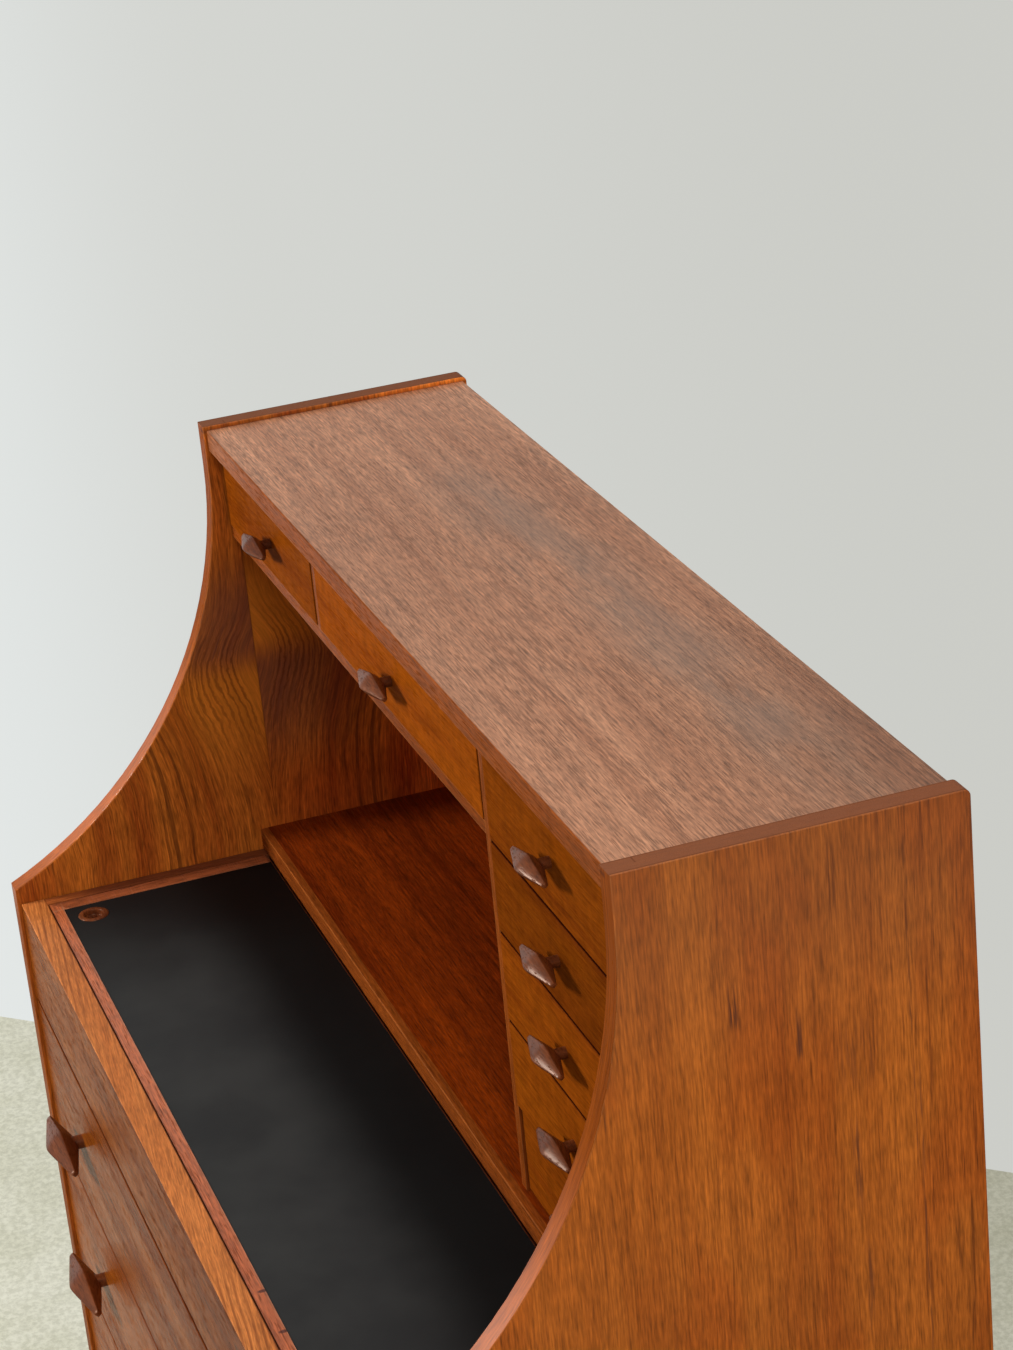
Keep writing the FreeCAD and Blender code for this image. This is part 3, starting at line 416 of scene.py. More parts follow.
def side_finish(node, inner_sign):
    material, tree, shader, place = surface(f"{node}_wood", 0.3, 0.008)
    shader.inputs["Coat Roughness"].default_value = 0.3
    low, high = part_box(node)
    x, y, z = split(tree, place)
    neck_y = high.y - UPPER_DEPTH
    sweep = put(tree, "ShaderNodeCombineXYZ", (0, minus(tree, y, neck_y - SWEEP_RADIUS), sums(
        tree, "MINIMUM", minus(tree, z, high.z - SWEEP_START), 0)))
    to_sweep = minus(tree, vectors(tree, "LENGTH", sweep).outputs["Value"], SWEEP_RADIUS)
    to_front = sums(tree, "MINIMUM", to_sweep, minus(tree, y, low.y))
    to_edge = sums(
        tree, "MINIMUM", to_front, sums(tree, "MINIMUM", minus(tree, high.y, y), minus(tree, high.z, z)))
    to_face = sums(tree, "MINIMUM", minus(tree, x, low.x), minus(tree, high.x, x))

    # Inner faces: the two leaves mirror each other, and their growth lines swirl round a flame on the seam.
    beside = apart(tree, y, SEAM_Y)
    front_leaf = sums(tree, "LESS_THAN", y, SEAM_Y)
    above = minus(tree, z, slope(tree, front_leaf, -0.007, FLAME_Z))
    lift = sums(
        tree, "MAXIMUM", sums(tree, "DIVIDE", above, FLAME_OVER), sums(tree, "DIVIDE", above, -FLAME_UNDER))
    flame = sums(tree, "EXPONENT", times(tree, lift, lift, -1))
    fade = sums(tree, "EXPONENT", times(tree, beside, -9))
    heart = times(tree, flame, fade)
    leaf_place = put(tree, "ShaderNodeCombineXYZ", (x, beside, z))
    swirl = times(tree, minus(tree, noise(tree, leaf_place, 7, 0), 0.5), FLAME_SWIRL)
    across = minus(tree, beside, times(tree, heart, FLAME_BULGE))
    across = sums(tree, "ADD", across, times(tree, flame, swirl))
    uneven = minus(tree, noise(tree, scaled(tree, place, (1, 1, 0.5)), 16, 2), 0.5)
    across = slope(tree, uneven, 0.016, across)
    matched = put(tree, "ShaderNodeCombineXYZ", (x, across, z))
    figured = use(tree, GRAIN, Place=matched, **FIGURED, Ribbons=1.1, Lines=0.35, Fibres=0.7, Pores=0.3,
                  Mottle=0.2, Wander=0.006)
    rings = put(tree, "ShaderNodeTexWave", (matched, 50, 3.2, 2, 2.2, 0.6), bands_direction="Y")
    core = step(tree, across, -0.020, -0.008)
    figure = times(tree, core, step(tree, rings.outputs["Fac"], 0.5, 0.95), slope(tree, heart, 0.62, 0.05))
    # The leaves lean opposite ways above and below the flame: one shines golden where the other is dark.
    # That sheen is painted into the colour.
    rising = step(tree, above, -0.012, 0.022)
    rising = minus(tree, sums(tree, "ADD", front_leaf, rising), times(tree, front_leaf, rising, 2))
    reach = times(
        tree, step(tree, above, -0.13, -0.03), step(tree, above, 0.12, 0.05), step(tree, beside, 0.13, 0.02))
    inner = tint(tree, times(tree, reach, rising, 0.5), figured, FLAME_SHEEN_GOLD)
    inner = tint(tree, times(tree, reach, minus(tree, 1, rising), 0.6), inner, FLAME_SHEEN_DARK)
    inner = tint(tree, figure, inner, FIGURED["Line"])
    deep = times(tree, step(tree, z, 0.86, 0.79), step(tree, y, 0.0, 0.06))
    inner = tint(tree, deep, inner, LOW_INSIDE, "MULTIPLY")
    # Painted light: the inner face is made brighter towards the back.
    inner = scaled(tree, inner, sums(tree, "ADD", step(tree, y, 0.12, 0.20), 1.15))
    for line_y, half, strength in DARK_LINES:
        off = apart(tree, sums(tree, "ADD", across, SEAM_Y), line_y)
        inner = tint(tree, times(tree, step(tree, off, 2 * half, half), strength), inner, FIGURED["Line"])

    # Outer faces: flat-sawn in front, with straighter and darker lines towards the back.
    quartered = step(tree, y, 0.150, 0.205)
    plain = timber(
        tree, place, "z", TEAK, shift=(0.37 * inner_sign, 0, 0.2), Ribbons=0.5,
        Lines=slope(tree, quartered, 0.25, 0.35), Fibres=0.55, Pores=0.15, Mottle=0.3, Wander=0.011)
    shaded = scaled(tree, plain, minus(tree, slope(tree, step(tree, z, 0.98, 1.14), -0.18, 0.98), times(
        tree, step(tree, z, 0.90, 0.70), 0.12)))
    flush = step(tree, noise(tree, scaled(tree, place, (1, 1, 0.35)), 14, 2), 0.45, 0.62)
    shaded = tint(tree, times(tree, flush, 0.8), shaded, FLUSH, "MULTIPLY")
    shaded = tint(tree, step(tree, z, 0.85, 0.62), shaded, LOW_OUTSIDE, "MULTIPLY")
    outer = tint(tree, times(tree, step(tree, z, 0.95, 1.12), 0.12), shaded, GREY_FADE)
    if inner_sign < 0:
        streaks = step(tree, noise(tree, scaled(tree, place, (1, 1, 0.06)), 520, 2), 0.40, 0.60)
        for mark in MARKS:
            outer = tint(tree, times(tree, spot(tree, y, z, mark), streaks), outer, BRUISE)
    solid = use(tree, GRAIN, Place=scaled(tree, place, (1, 0.15, 0.15)), **LIPPING_TEAK, Ribbons=0.8,
                Lines=0.4, Fibres=0.4, Pores=0.2, Mottle=0.2, Wander=0.001)

    middle = (low.x + high.x) / 2
    inside = sums(tree, "GREATER_THAN" if inner_sign > 0 else "LESS_THAN", x, middle)
    off_face = sums(tree, "GREATER_THAN", to_face, VENEER)
    face = tint(tree, inside, outer, inner)
    # Painted light and shade on the lipping: brighter low on the sweep, where it faces up, darker below it.
    bright = scaled(tree, solid, times(tree, slope(tree, step(tree, z, 1.0, 0.84), 0.6, 0.85), slope(
        tree, step(tree, z, 0.72, 0.80), 0.5, 0.5)))
    tone = tint(tree, off_face, face, bright)
    # The panel's top edge is darker and greyer.
    on_top = times(tree, off_face, step(tree, z, high.z - 0.0012, high.z - 0.0004))
    tone = tint(tree, times(tree, on_top, 0.75), tone, GREYER_TOP_EDGE)
    glue = times(tree, step(tree, to_face, 0.0008, 0.0012), step(tree, to_face, 0.0021, 0.0015))
    tone = tint(tree, times(tree, glue, on_top, 0.5), tone, TEAK["Line"])
    seam = times(tree, inside, step(tree, beside, 0.0009, 0.0003))
    tone = tint(tree, times(tree, seam, 0.35), tone, FIGURED["Line"])
    under_top = minus(tree, high.z, z)
    lip_low = times(
        tree, inside, step(tree, under_top, 0.0006, 0.0060), step(tree, under_top, 0.0075, 0.0040))
    tone = tint(tree, times(tree, lip_low, 0.85), tone, SHADED_LIP)
    # The arrises are rubbed paler, and the paleness is also a painted highlight.
    patchy = noise(tree, place, 70, 3)
    rubbed_and_highlit = times(tree, step(tree, sums(tree, "MAXIMUM", to_edge, to_face), 0.0012, 0.0002), slope(
        tree, patchy, 1.2, -0.2))
    tone = tint(tree, times(tree, rubbed_and_highlit, 0.35), tone, WORN_AND_HIGHLIT_TEAK)
    polish = times(tree, step(tree, z, 0.98, 0.84), step(tree, z, 0.72, 0.80), 0.8)
    join(tree, shader.inputs["Coat Weight"], sums(
        tree, "ADD", times(tree, off_face, polish), times(tree, minus(tree, 1, off_face), 0.22)))
    feed(tree, shader, tone, plain, 0.3, groove=seam)
    dress(node, material)


side_finish("side_panel_left", 1)
side_finish("side_panel_right", -1)


# ---------------------------------------------------------------- top panel
# A veneered board between the sides, its grain along the desk. Its upper face stands in the light, so it has
# faded to a pinkish tan, and its front edge has stayed dark. The grey sheen in the middle is painted on.
SHEEN_START = Vector((-0.236, 0.157, 0))
SHEEN_END = Vector((0.443, 0.190, 0))
SHEEN_GREY = colour(0.20, 0.150, 0.12)
FADED_TEAK = three_tones((0.54, 0.250, 0.135), (0.38, 0.156, 0.078), (0.17, 0.068, 0.034))
EDGE_TEAK = three_tones((0.30, 0.075, 0.012), (0.19, 0.042, 0.006))


def top_finish():
    material, tree, shader, place = surface("top_panel_wood", 0.36, 0.02)
    shader.inputs["Coat Roughness"].default_value = 0.3
    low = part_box("top_panel")[0]
    x, y, z = split(tree, place)
    faded = timber(tree, place, "x", FADED_TEAK, Ribbons=0.9, Lines=0.35, Fibres=0.7, Pores=0.5, Mottle=0.2,
                   Wander=0.004)
    dark = timber(tree, place, "x", EDGE_TEAK, Ribbons=0.9, Lines=0.4, Pores=0.3, Mottle=0.2, Wander=0.004)
    # Painted sheen: a grey band along the middle of the top.
    run = SHEEN_END - SHEEN_START
    sideways = Vector((-run.y, run.x, 0)).normalized()
    offset = vectors(tree, "SUBTRACT", place, SHEEN_START)
    along = vectors(tree, "DOT_PRODUCT", offset, run / run.length_squared).outputs["Value"]
    off_line = sums(tree, "ABSOLUTE", vectors(tree, "DOT_PRODUCT", offset, sideways).outputs["Value"])
    cloudy = noise(tree, scaled(tree, place, (1, 3, 1)), 9, 3)
    ends = times(tree, step(tree, along, -0.15, 0.1), step(tree, along, 1.15, 0.8))
    grey_patches = times(tree, ends, step(tree, off_line, 0.055, 0.005), step(tree, cloudy, 0.3, 0.6))
    # Painted light: paler at the left end, where the top shows more sheen; darker at the right back.
    overtone = scaled(tree, faded, minus(tree, slope(tree, step(tree, x, -0.10, -0.48), 0.22, 0.98), times(
        tree, step(tree, x, 0.0, 0.45), step(tree, y, 0.06, 0.22), 0.32)))
    tone = tint(tree, times(tree, grey_patches, 0.4), overtone, SHEEN_GREY)
    in_front = step(tree, y, low.y + 0.0016, low.y + 0.0004)
    # Painted sheen: the front edge is paler towards its left end.
    sheen_left = step(tree, x, -0.30, -0.47)
    edge = tint(tree, times(tree, sheen_left, 0.3), dark, faded)
    tone = tint(tree, in_front, tone, edge)
    join(tree, shader.inputs["Coat Weight"], times(tree, minus(tree, 1, in_front), 0.45))
    # The lower front arris is rubbed paler, and the paleness is also a painted highlight.
    patchy = noise(tree, place, 60, 3)
    arris = times(tree, step(tree, z, low.z + 0.0018, low.z + 0.0004), step(tree, x, 0.15, -0.35))
    tone = tint(tree, times(tree, arris, slope(tree, patchy, 1.4, -0.2)), tone, WORN_AND_HIGHLIT_TEAK)
    feed(tree, shader, tone, faded, 0.36)
    dress("top_panel", material)


top_finish()


# ---------------------------------------------------------------- fixed boards
# Shelf, row board and dividers are solid-lipped teak boards with their grain along their length. The backs
# are thin veneered ply, and the case bottom is a plainer board.
SHADED_TEAK = three_tones((0.25, 0.038, 0.003), (0.13, 0.017, 0.002), (0.045, 0.007, 0.001))
BRIGHT_LIPPING = three_tones((0.30, 0.070, 0.009), (0.19, 0.042, 0.007))
RUBBED_AND_HIGHLIT_LIPPING = colour(0.52, 0.18, 0.045)


def shelf_finish(node, along, lipping):
    """A board with a solid front lipping, paler than its faces, and a rubbed front arris with a painted
    highlight.
    """
    material, tree, shader, place = surface(f"{node}_wood", 0.26, 0.015)
    low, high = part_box(node)
    y = split(tree, place)["Y"]
    wood = timber(tree, place, along, SHADED_TEAK, shift=(0.1, 0.2, 0.3), Ribbons=1.1, Lines=0.4, Fibres=0.6,
                  Pores=0.3, Mottle=0.2, Wander=0.006)
    edge = use(tree, EDGE_WEAR_AND_HIGHLIGHT, Place=place, Low=low, High=high, Width=0.0009)
    front = step(tree, y, low.y + lipping + 0.0003, low.y + lipping - 0.0003)
    solid = timber(
        tree, place, along, BRIGHT_LIPPING, Ribbons=0.8, Lines=0.4, Pores=0.3, Mottle=0.3, Wander=0.003)
    tone = tint(tree, front, wood, solid)
    tone = tint(tree, times(tree, edge, front, 0.35), tone, RUBBED_AND_HIGHLIT_LIPPING)
    feed(tree, shader, tone, wood, 0.26)
    dress(node, material)


for node, along, lipping in (("shelf", "x", 0.007), ("row_board", "x", 0.004), ("left_divider", "z", 0.003),
                             ("column_divider", "z", 0.003)):
    shelf_finish(node, along, lipping)
for node in ("case_bottom", "upper_back", "lower_back"):
    dress(node, board_finish(node, "x" if node == "case_bottom" else "z", wear_and_highlight=0.2, roughness=0.5,
                             Ribbons=1, Lines=0.5, Pores=0.5, Wander=0.01))


# ---------------------------------------------------------------- drawer fronts
# Each front is its own piece of veneered board with the grain along the desk, so no two are alike in tone.
# Its edges, which face the gaps, carry painted shade, and so does the arris at the top, which widens the
# dark line of each gap.
GAP_SHADE = colour(0.060, 0.008, 0.003)


def front_finish(node, tones, roughness, specular, overtone, **grain):
    material, tree, shader, place = surface(f"{node}_wood", roughness, specular)
    low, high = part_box(node)
    _, y, z = split(tree, place)
    wood = timber(tree, place, "x", tones, **grain)
    # Painted shade on the edges that face the gaps.
    edges = step(tree, y, low.y + 0.0004, low.y + 0.0010)
    tone = tint(tree, times(tree, edges, 0.95), wood, GAP_SHADE)
    patchy = noise(tree, place, 55, 3)
    # Painted shade on the top arris.
    arris = times(tree, step(tree, z, high.z - 0.0016, high.z - 0.0010), minus(tree, 1, edges))
    tone = tint(tree, times(tree, arris, slope(tree, patchy, 0.7, -0.15)), tone, overtone)
    feed(tree, shader, tone, wood, roughness)
    dress(node, material)


def toned(tones, share):
    """The same three tones, darker or paler."""
    return {name: colour(*(share * part for part in tone[:3])) for name, tone in tones.items()}


UPPER_FRONT_TEAK = three_tones((0.33, 0.078, 0.004), (0.22, 0.044, 0.003), (0.12, 0.018, 0.002))
LOWER_FRONT_TEAK = three_tones((0.42, 0.110, 0.012), (0.23, 0.044, 0.004), (0.08, 0.015, 0.004))
UPPER_ARRIS_SHADE = colour(0.13, 0.022, 0.006)
LOWER_ARRIS_SHADE = colour(0.14, 0.034, 0.010)
# Each drawer, and how bright its front is.
upper_drawers = {"left_drawer": 0.8, "centre_drawer": 1.05, "right_drawer_1": 0.80, "right_drawer_2": 0.68,
                 "right_drawer_3": 0.95, "right_drawer_4": 0.95, "right_drawer_5": 0.95}
lower_drawers = {"low_drawer_1": 0.64, "low_drawer_2": 0.74, "low_drawer_3": 0.8}
for drawer, share in upper_drawers.items():
    front_finish(f"{drawer}_front", toned(UPPER_FRONT_TEAK, share), 0.3, 0.0008, UPPER_ARRIS_SHADE, Ribbons=0.8,
                 Lines=0.3, Fibres=0.35, Pores=0.2, Mottle=0.6, Wander=0.008)
for drawer, share in lower_drawers.items():
    front_finish(f"{drawer}_front", toned(LOWER_FRONT_TEAK, share), 0.22, 0.009, LOWER_ARRIS_SHADE, Ribbons=1.1,
                 Lines=0.4, Fibres=0.6, Pores=0.2, Mottle=0.2, Wander=0.01)


# ---------------------------------------------------------------- pulls
# Carved by hand from dark solid teak and polished by fingers: four soft flats that run from a rounded waist
# to two blunt points, on a thin turned neck. Each small one sits a little off the middle of its drawer.
PULL_TIP = 0.22
PULL_CAP = 1.012
PULL_SOFT = 1.22
PULL_SIDES = 32
PULL_RINGS = 16
PULL_WAIST = 0.10
PULL_TEAK = three_tones((0.175, 0.046, 0.013), (0.085, 0.019, 0.006), (0.025, 0.004, 0.002))
SMALL_PULL = {"length": 0.062, "depth": 0.0190, "rise": 0.0185, "neck": 0.0042}
LARGE_PULL = {"length": 0.104, "depth": 0.0275, "rise": 0.0255, "neck": 0.0062}
PULL_SHIFTS = {
    "left_drawer": (0.009, -0.0055), "centre_drawer": (-0.003, -0.0055), "right_drawer_1": (-0.003, 0),
    "right_drawer_2": (-0.005, 0.002), "right_drawer_3": (-0.008, 0.002), "right_drawer_4": (-0.009, 0),
    "right_drawer_5": (-0.009, 0)}
PULL_SPREAD = 0.338


def pull_finish():
    material, tree, shader, place = surface("pull_wood", 0.3, 0.18)
    shader.inputs["Specular Tint"].default_value = colour(1, 0.64, 0.44)
    wood = timber(
        tree, place, "x", PULL_TEAK, Ribbons=1, Lines=0.4, Fibres=0.5, Pores=0.2, Mottle=0.3, Wander=0.003)
    feed(tree, shader, wood, wood, 0.3, 0.00005)
    return material


def soft_power(value):
    return math.copysign(abs(value) ** (2 / PULL_SOFT), value)


def carved_pull(centre, front, length, depth, rise, neck):
    """Corners and faces of one pull: rings of a soft diamond along X, and a neck that ends in the front."""
    run = math.sqrt(1 + PULL_WAIST ** 2) - PULL_WAIST
    shares = [ring / PULL_RINGS for ring in range(-PULL_RINGS, PULL_RINGS + 1)]
    stations = [(share, 1 - (1 - PULL_TIP) * (math.hypot(share, PULL_WAIST) - PULL_WAIST) / run)
                for share in shares]
    stations = [(-PULL_CAP, PULL_TIP * 0.7), *stations, (PULL_CAP, PULL_TIP * 0.7)]
    corners, faces = [], []
    for share, size in stations:
        for side in range(PULL_SIDES):
            turn = 2 * math.pi * side / PULL_SIDES
            corners.append(centre + Vector((
                share * length / 2, size * depth / 2 * soft_power(math.cos(turn)),
                size * rise / 2 * soft_power(math.sin(turn)))))
    for y in (centre.y, front):
        for side in range(PULL_SIDES):
            turn = 2 * math.pi * side / PULL_SIDES
            corners.append(Vector((centre.x + neck * math.sin(turn), y, centre.z + neck * math.cos(turn))))
    for first, last in ((0, len(stations) - 1), (len(stations), len(stations) + 1)):
        for row in range(first, last):
            for side in range(PULL_SIDES):
                start, after = row * PULL_SIDES, (side + 1) % PULL_SIDES
                above = start + PULL_SIDES
                faces.append((start + side, start + after, above + after, above + side))
        faces.append(tuple(reversed(range(first * PULL_SIDES, (first + 1) * PULL_SIDES))))
        faces.append(tuple(range(last * PULL_SIDES, (last + 1) * PULL_SIDES)))
    return corners, faces


def mesh_piece(name, corners, faces, material, smooth_angle=40):
    mesh = bpy.data.meshes.new(name)
    mesh.from_pydata(corners, [], faces)
    mesh.materials.append(material)
    mesh.shade_smooth()
    mesh.set_sharp_from_angle(angle=math.radians(smooth_angle))
    return stand(name, mesh)


def merged(parts):
    """Corners and faces of several shapes in one list each."""
    corners, faces = [], []
    for more, sides in parts:
        faces += [tuple(len(corners) + corner for corner in face) for face in sides]
        corners += more
    return corners, faces


def fit_pulls(drawer, node, centres, front, sizes):
    parts = [carved_pull(centre, front, **sizes) for centre in centres]
    pulls = mesh_piece(f"{drawer}_carved_pulls", *merged(parts), PULL_WOOD, 60)
    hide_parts(node)
    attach(pulls, drawer)


PULL_WOOD = pull_finish()
for drawer in upper_drawers:
    low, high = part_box(f"{drawer}_pull")
    right, up = PULL_SHIFTS[drawer]
    middle = (low + high) / 2
    centre = Vector((middle.x + right, low.y + SMALL_PULL["depth"] / 2, middle.z + up))
    fit_pulls(drawer, f"{drawer}_pull", [centre], high.y, SMALL_PULL)
for drawer in lower_drawers:
    low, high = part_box(f"{drawer}_pulls")
    centres = [Vector((x, low.y + LARGE_PULL["depth"] / 2, (low.z + high.z) / 2))
               for x in (-PULL_SPREAD, PULL_SPREAD)]
    fit_pulls(drawer, f"{drawer}_pulls", centres, high.y, LARGE_PULL)


# ---------------------------------------------------------------- drawer boxes and runners
# The parts that only show when a drawer is open are pale waxed hardwood, with thin ply bases. The front rail
# and the deck board, whose edges show in narrow gaps, are teak painted dark for the shade in those gaps.
PALE_WOOD = three_tones((0.62, 0.42, 0.24), (0.49, 0.31, 0.16), (0.28, 0.155, 0.075))
THIN_PLY = three_tones((0.66, 0.48, 0.30), (0.56, 0.39, 0.22), (0.38, 0.24, 0.13))
boxes = [f"{drawer}_box" for drawer in (*upper_drawers, *lower_drawers)]
# Painted shade: the rail is darkened for the gaps it lies in.
dress("front_rail", board_finish("front_rail", "x", toned(SHADED_TEAK, 0.6), wear_and_highlight=0, Ribbons=1, Lines=0.5))
for node in boxes + ["upper_runners", "lower_runners", "tray_runners", "leaf_rests", "dowels"]:
    along = "x" if node in ("dowels", "leaf_rests") else "y"
    dress(node, board_finish(
        node, along, PALE_WOOD, roughness=0.45, wear_and_highlight=0, Ribbons=0.8, Lines=0.35, Pores=0.3, Wander=0.006))
# Painted shade, as for the rail.
dress("deck_board", board_finish("deck_board", "x", toned(SHADED_TEAK, 0.6), wear_and_highlight=0, Ribbons=1, Lines=0.3))
for node in [f"{drawer}_base" for drawer in lower_drawers] + ["tray_base"]:
    dress(node, board_finish(node, "x", THIN_PLY, roughness=0.55, wear_and_highlight=0, Ribbons=1, Lines=0.2,
                             Pores=0.2, Wander=0.03))


# ---------------------------------------------------------------- tray
# The tray has teak sides, bright in front and painted darker towards the back, as shade deep in the case. Its
# front is thick, because its top edge is the hand's rest before the leaf: solid teak, with a few growth lines
# that cross it aslant.
TRAY_SIDE_TEAK = three_tones((0.40, 0.110, 0.026), (0.26, 0.062, 0.013))
TRAY_TOP_TEAK = three_tones((0.62, 0.212, 0.052), (0.48, 0.142, 0.032), (0.17, 0.040, 0.010))
TRAY_BACK_SHADE = colour(0.085, 0.018, 0.008)
SLASH_TONE = colour(0.20, 0.050, 0.012)
SLASH_TURN = math.radians(6.5)


def tray_side_finish():
    material, tree, shader, place = surface("tray_side_wood", 0.38, 0.2)
    y = split(tree, place)["Y"]
    bright = timber(
        tree, place, "y", TRAY_SIDE_TEAK, Ribbons=1, Lines=0.5, Pores=0.4, Mottle=0.3, Wander=0.004)
    # Painted shade, deeper towards the back.
    shaded_back = times(tree, step(tree, y, -0.190, -0.14), 0.75)
    tone = tint(tree, shaded_back, bright, TRAY_BACK_SHADE)
    feed(tree, shader, tone, bright, 0.38)
    dress("tray_box", material)


tray_side_finish()


def tray_front_finish():
    material, tree, shader, place = surface("tray_front_wood", 0.22, 0.006)
    shader.inputs["Coat Roughness"].default_value = 0.3
    low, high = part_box("tray_front")
    _, y, z = split(tree, place)
    face = timber(tree, place, "x", toned(LOWER_FRONT_TEAK, 0.63), Ribbons=1.2, Lines=0.5, Pores=0.5,
                  Mottle=0.4, Wander=0.01)
    slant = put(tree, "ShaderNodeMapping", (place, None, (0, 0, SLASH_TURN)))
    top = timber(tree, slant, "x", TRAY_TOP_TEAK, shift=(0, 0.3, 0.1), Ribbons=0.9, Lines=0.3, Fibres=0.5,
                 Pores=0.3, Mottle=0.2, Wander=0.006)
    growth = put(tree, "ShaderNodeTexWave", (scaled(tree, slant, (0.3, 1, 1)), 58, 2.2, 1, 0.8, 0.5),
                 bands_direction="Y")
    wide = noise(tree, scaled(tree, slant, (0.2, 1, 1)), 22, 1)
    slashes = times(tree, step(tree, growth.outputs["Fac"], 0.55, 0.95), step(tree, wide, 0.34, 0.60))
    striped = tint(tree, times(tree, slashes, 0.55), top, SLASH_TONE)
    on_top = sums(tree, "GREATER_THAN", z, high.z - 0.0008)
    tone = tint(tree, on_top, face, striped)
    # Painted shade on the edges below the top, which face the gaps.
    under = times(
        tree, step(tree, y, low.y + 0.0006, low.y + 0.0012), sums(tree, "LESS_THAN", z, high.z - 0.002))
    tone = tint(tree, times(tree, under, 0.95), tone, GAP_SHADE)
    # Painted shade along the back of the top edge, in the joint with the leaf.
    joint = times(tree, on_top, step(tree, y, high.y - 0.0009, high.y - 0.0004))
    tone = tint(tree, times(tree, joint, 0.6), tone, GAP_SHADE)
    join(tree, shader.inputs["Coat Weight"], times(tree, on_top, 0.25))
    feed(tree, shader, tone, face, 0.22)
    dress("tray_front", material)


tray_front_finish()


# ---------------------------------------------------------------- writing leaf
# A lipped board under a black leathery covering that lies a hair below the lipping. The lipping is reddish
# teak with mitred corners. Its inner arris is rubbed pale by sleeves and given a painted highlight, its end
# lippings are painted darker as shade, and its outer arrises carry painted shade from the gaps.
LEAF_TEAK = three_tones((0.46, 0.120, 0.040), (0.32, 0.074, 0.022), (0.11, 0.024, 0.009))
RUBBED_AND_HIGHLIT_LEAF = colour(0.46, 0.20, 0.10)
FLECKS_X = (0.2185, 0.274)
FLECK_SIZE = (0.0022, 0.004)
COVERING_DARK = colour(0.0195, 0.0200, 0.0204)
COVERING_GREY = colour(0.0320, 0.0328, 0.0322)


def leaf_finish():
    material, tree, shader, place = surface("leaf_wood", 0.34, 0.35)
    low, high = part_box("leaf_frame")
    inner_low, inner_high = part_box("leaf_surface")
    x, y, z = split(tree, place)
    values = {"Ribbons": 1, "Lines": 0.5, "Pores": 0.5, "Mottle": 0.4, "Wander": 0.004}
    long_wood = timber(tree, place, "x", LEAF_TEAK, **values)
    # Painted shade: the end lippings are darker than the front one.
    shaded_end_wood = timber(tree, place, "y", toned(LEAF_TEAK, 0.62), **values)
    to_end = minus(tree, high.x, sums(tree, "ABSOLUTE", x))
    to_front = minus(tree, y, low.y)
    on_end = step(tree, minus(tree, to_front, to_end), -0.0003, 0.0003)
    tone = tint(tree, on_end, long_wood, shaded_end_wood)
    inner = use(tree, EDGE_WEAR_AND_HIGHLIGHT, Place=place, Low=inner_low, High=inner_high, Width=0.0012)
    outer = use(tree, EDGE_WEAR_AND_HIGHLIGHT, Place=place, Low=low, High=high, Width=0.0007)
    upper = sums(tree, "GREATER_THAN", z, high.z - 0.001)
    # The inner arris is rubbed paler, and the paleness is also a painted highlight.
    tone = tint(tree, times(tree, inner, upper, slope(tree, on_end, -0.5, 0.7)), tone, RUBBED_AND_HIGHLIT_LEAF)
    # Painted shade on the outer arrises, beside the gaps round the leaf.
    tone = tint(tree, times(tree, outer, 0.6), tone, GAP_SHADE)
    # Two small dark flecks on the front lipping, in the same colour as the gap shade.
    for fleck_x in FLECKS_X:
        fleck = spot(tree, x, y, (fleck_x, inner_low.y - 0.002, *FLECK_SIZE, 0.9), 1.2, 0.6)
        tone = tint(tree, fleck, tone, GAP_SHADE)
    feed(tree, shader, tone, long_wood, 0.34)
    dress("leaf_frame", material)


leaf_finish()


def covering_finish():
    """Black covering: a fine pebble grain, greyer in patches, with painted shade towards the back and the left
    end.
    """
    material, tree, shader, place = surface("black_covering", 0.55, 0.10)
    pebbles = put(tree, "ShaderNodeTexVoronoi", (place, None, 900), feature="DISTANCE_TO_EDGE")
    creases = noise(tree, place, 260, 3, 0.6)
    grey_patches = noise(tree, place, 7, 4, 0.6)
    tone = tint(tree, step(tree, grey_patches, 0.35, 0.7), COVERING_DARK, COVERING_GREY)
    x, y, _ = split(tree, place)
    # Painted shade: darker towards the back and towards the left end.
    covering_shade = times(tree, slope(tree, step(tree, y, -0.035, -0.11), 0.93, 0.07), slope(
        tree, step(tree, x, -0.45, -0.2), 0.75, 0.25))
    join(tree, shader.inputs["Base Color"], scaled(tree, tone, covering_shade))
    join(tree, shader.inputs["Roughness"], slope(tree, grey_patches, 0.16, 0.48))
    emboss(tree, shader, slope(tree, creases, 0.8, pebbles.outputs["Distance"]), 0.35, 0.00015)
    return material


BLACK_COVERING = covering_finish()
dress("leaf_surface", BLACK_COVERING)
dress("deck_surface", BLACK_COVERING)


# ---------------------------------------------------------------- finger cups and pivots
# Each cup is turned from dark wood: a domed rim that stands 1 mm proud of the covering, and a round-bottomed
# dish for the fingertip. The pivots are plain steel pins.
CUP_SIDES = 72
CUP_BORE = 0.011
CUP_DISH = 0.0085
CUP_FLOOR = 0.003
RIM_ROUND = 0.0024
DISH_ROUND = 0.0012
CUP_FLOOR_ROUND = 0.002
ROUND_PARTS = 6


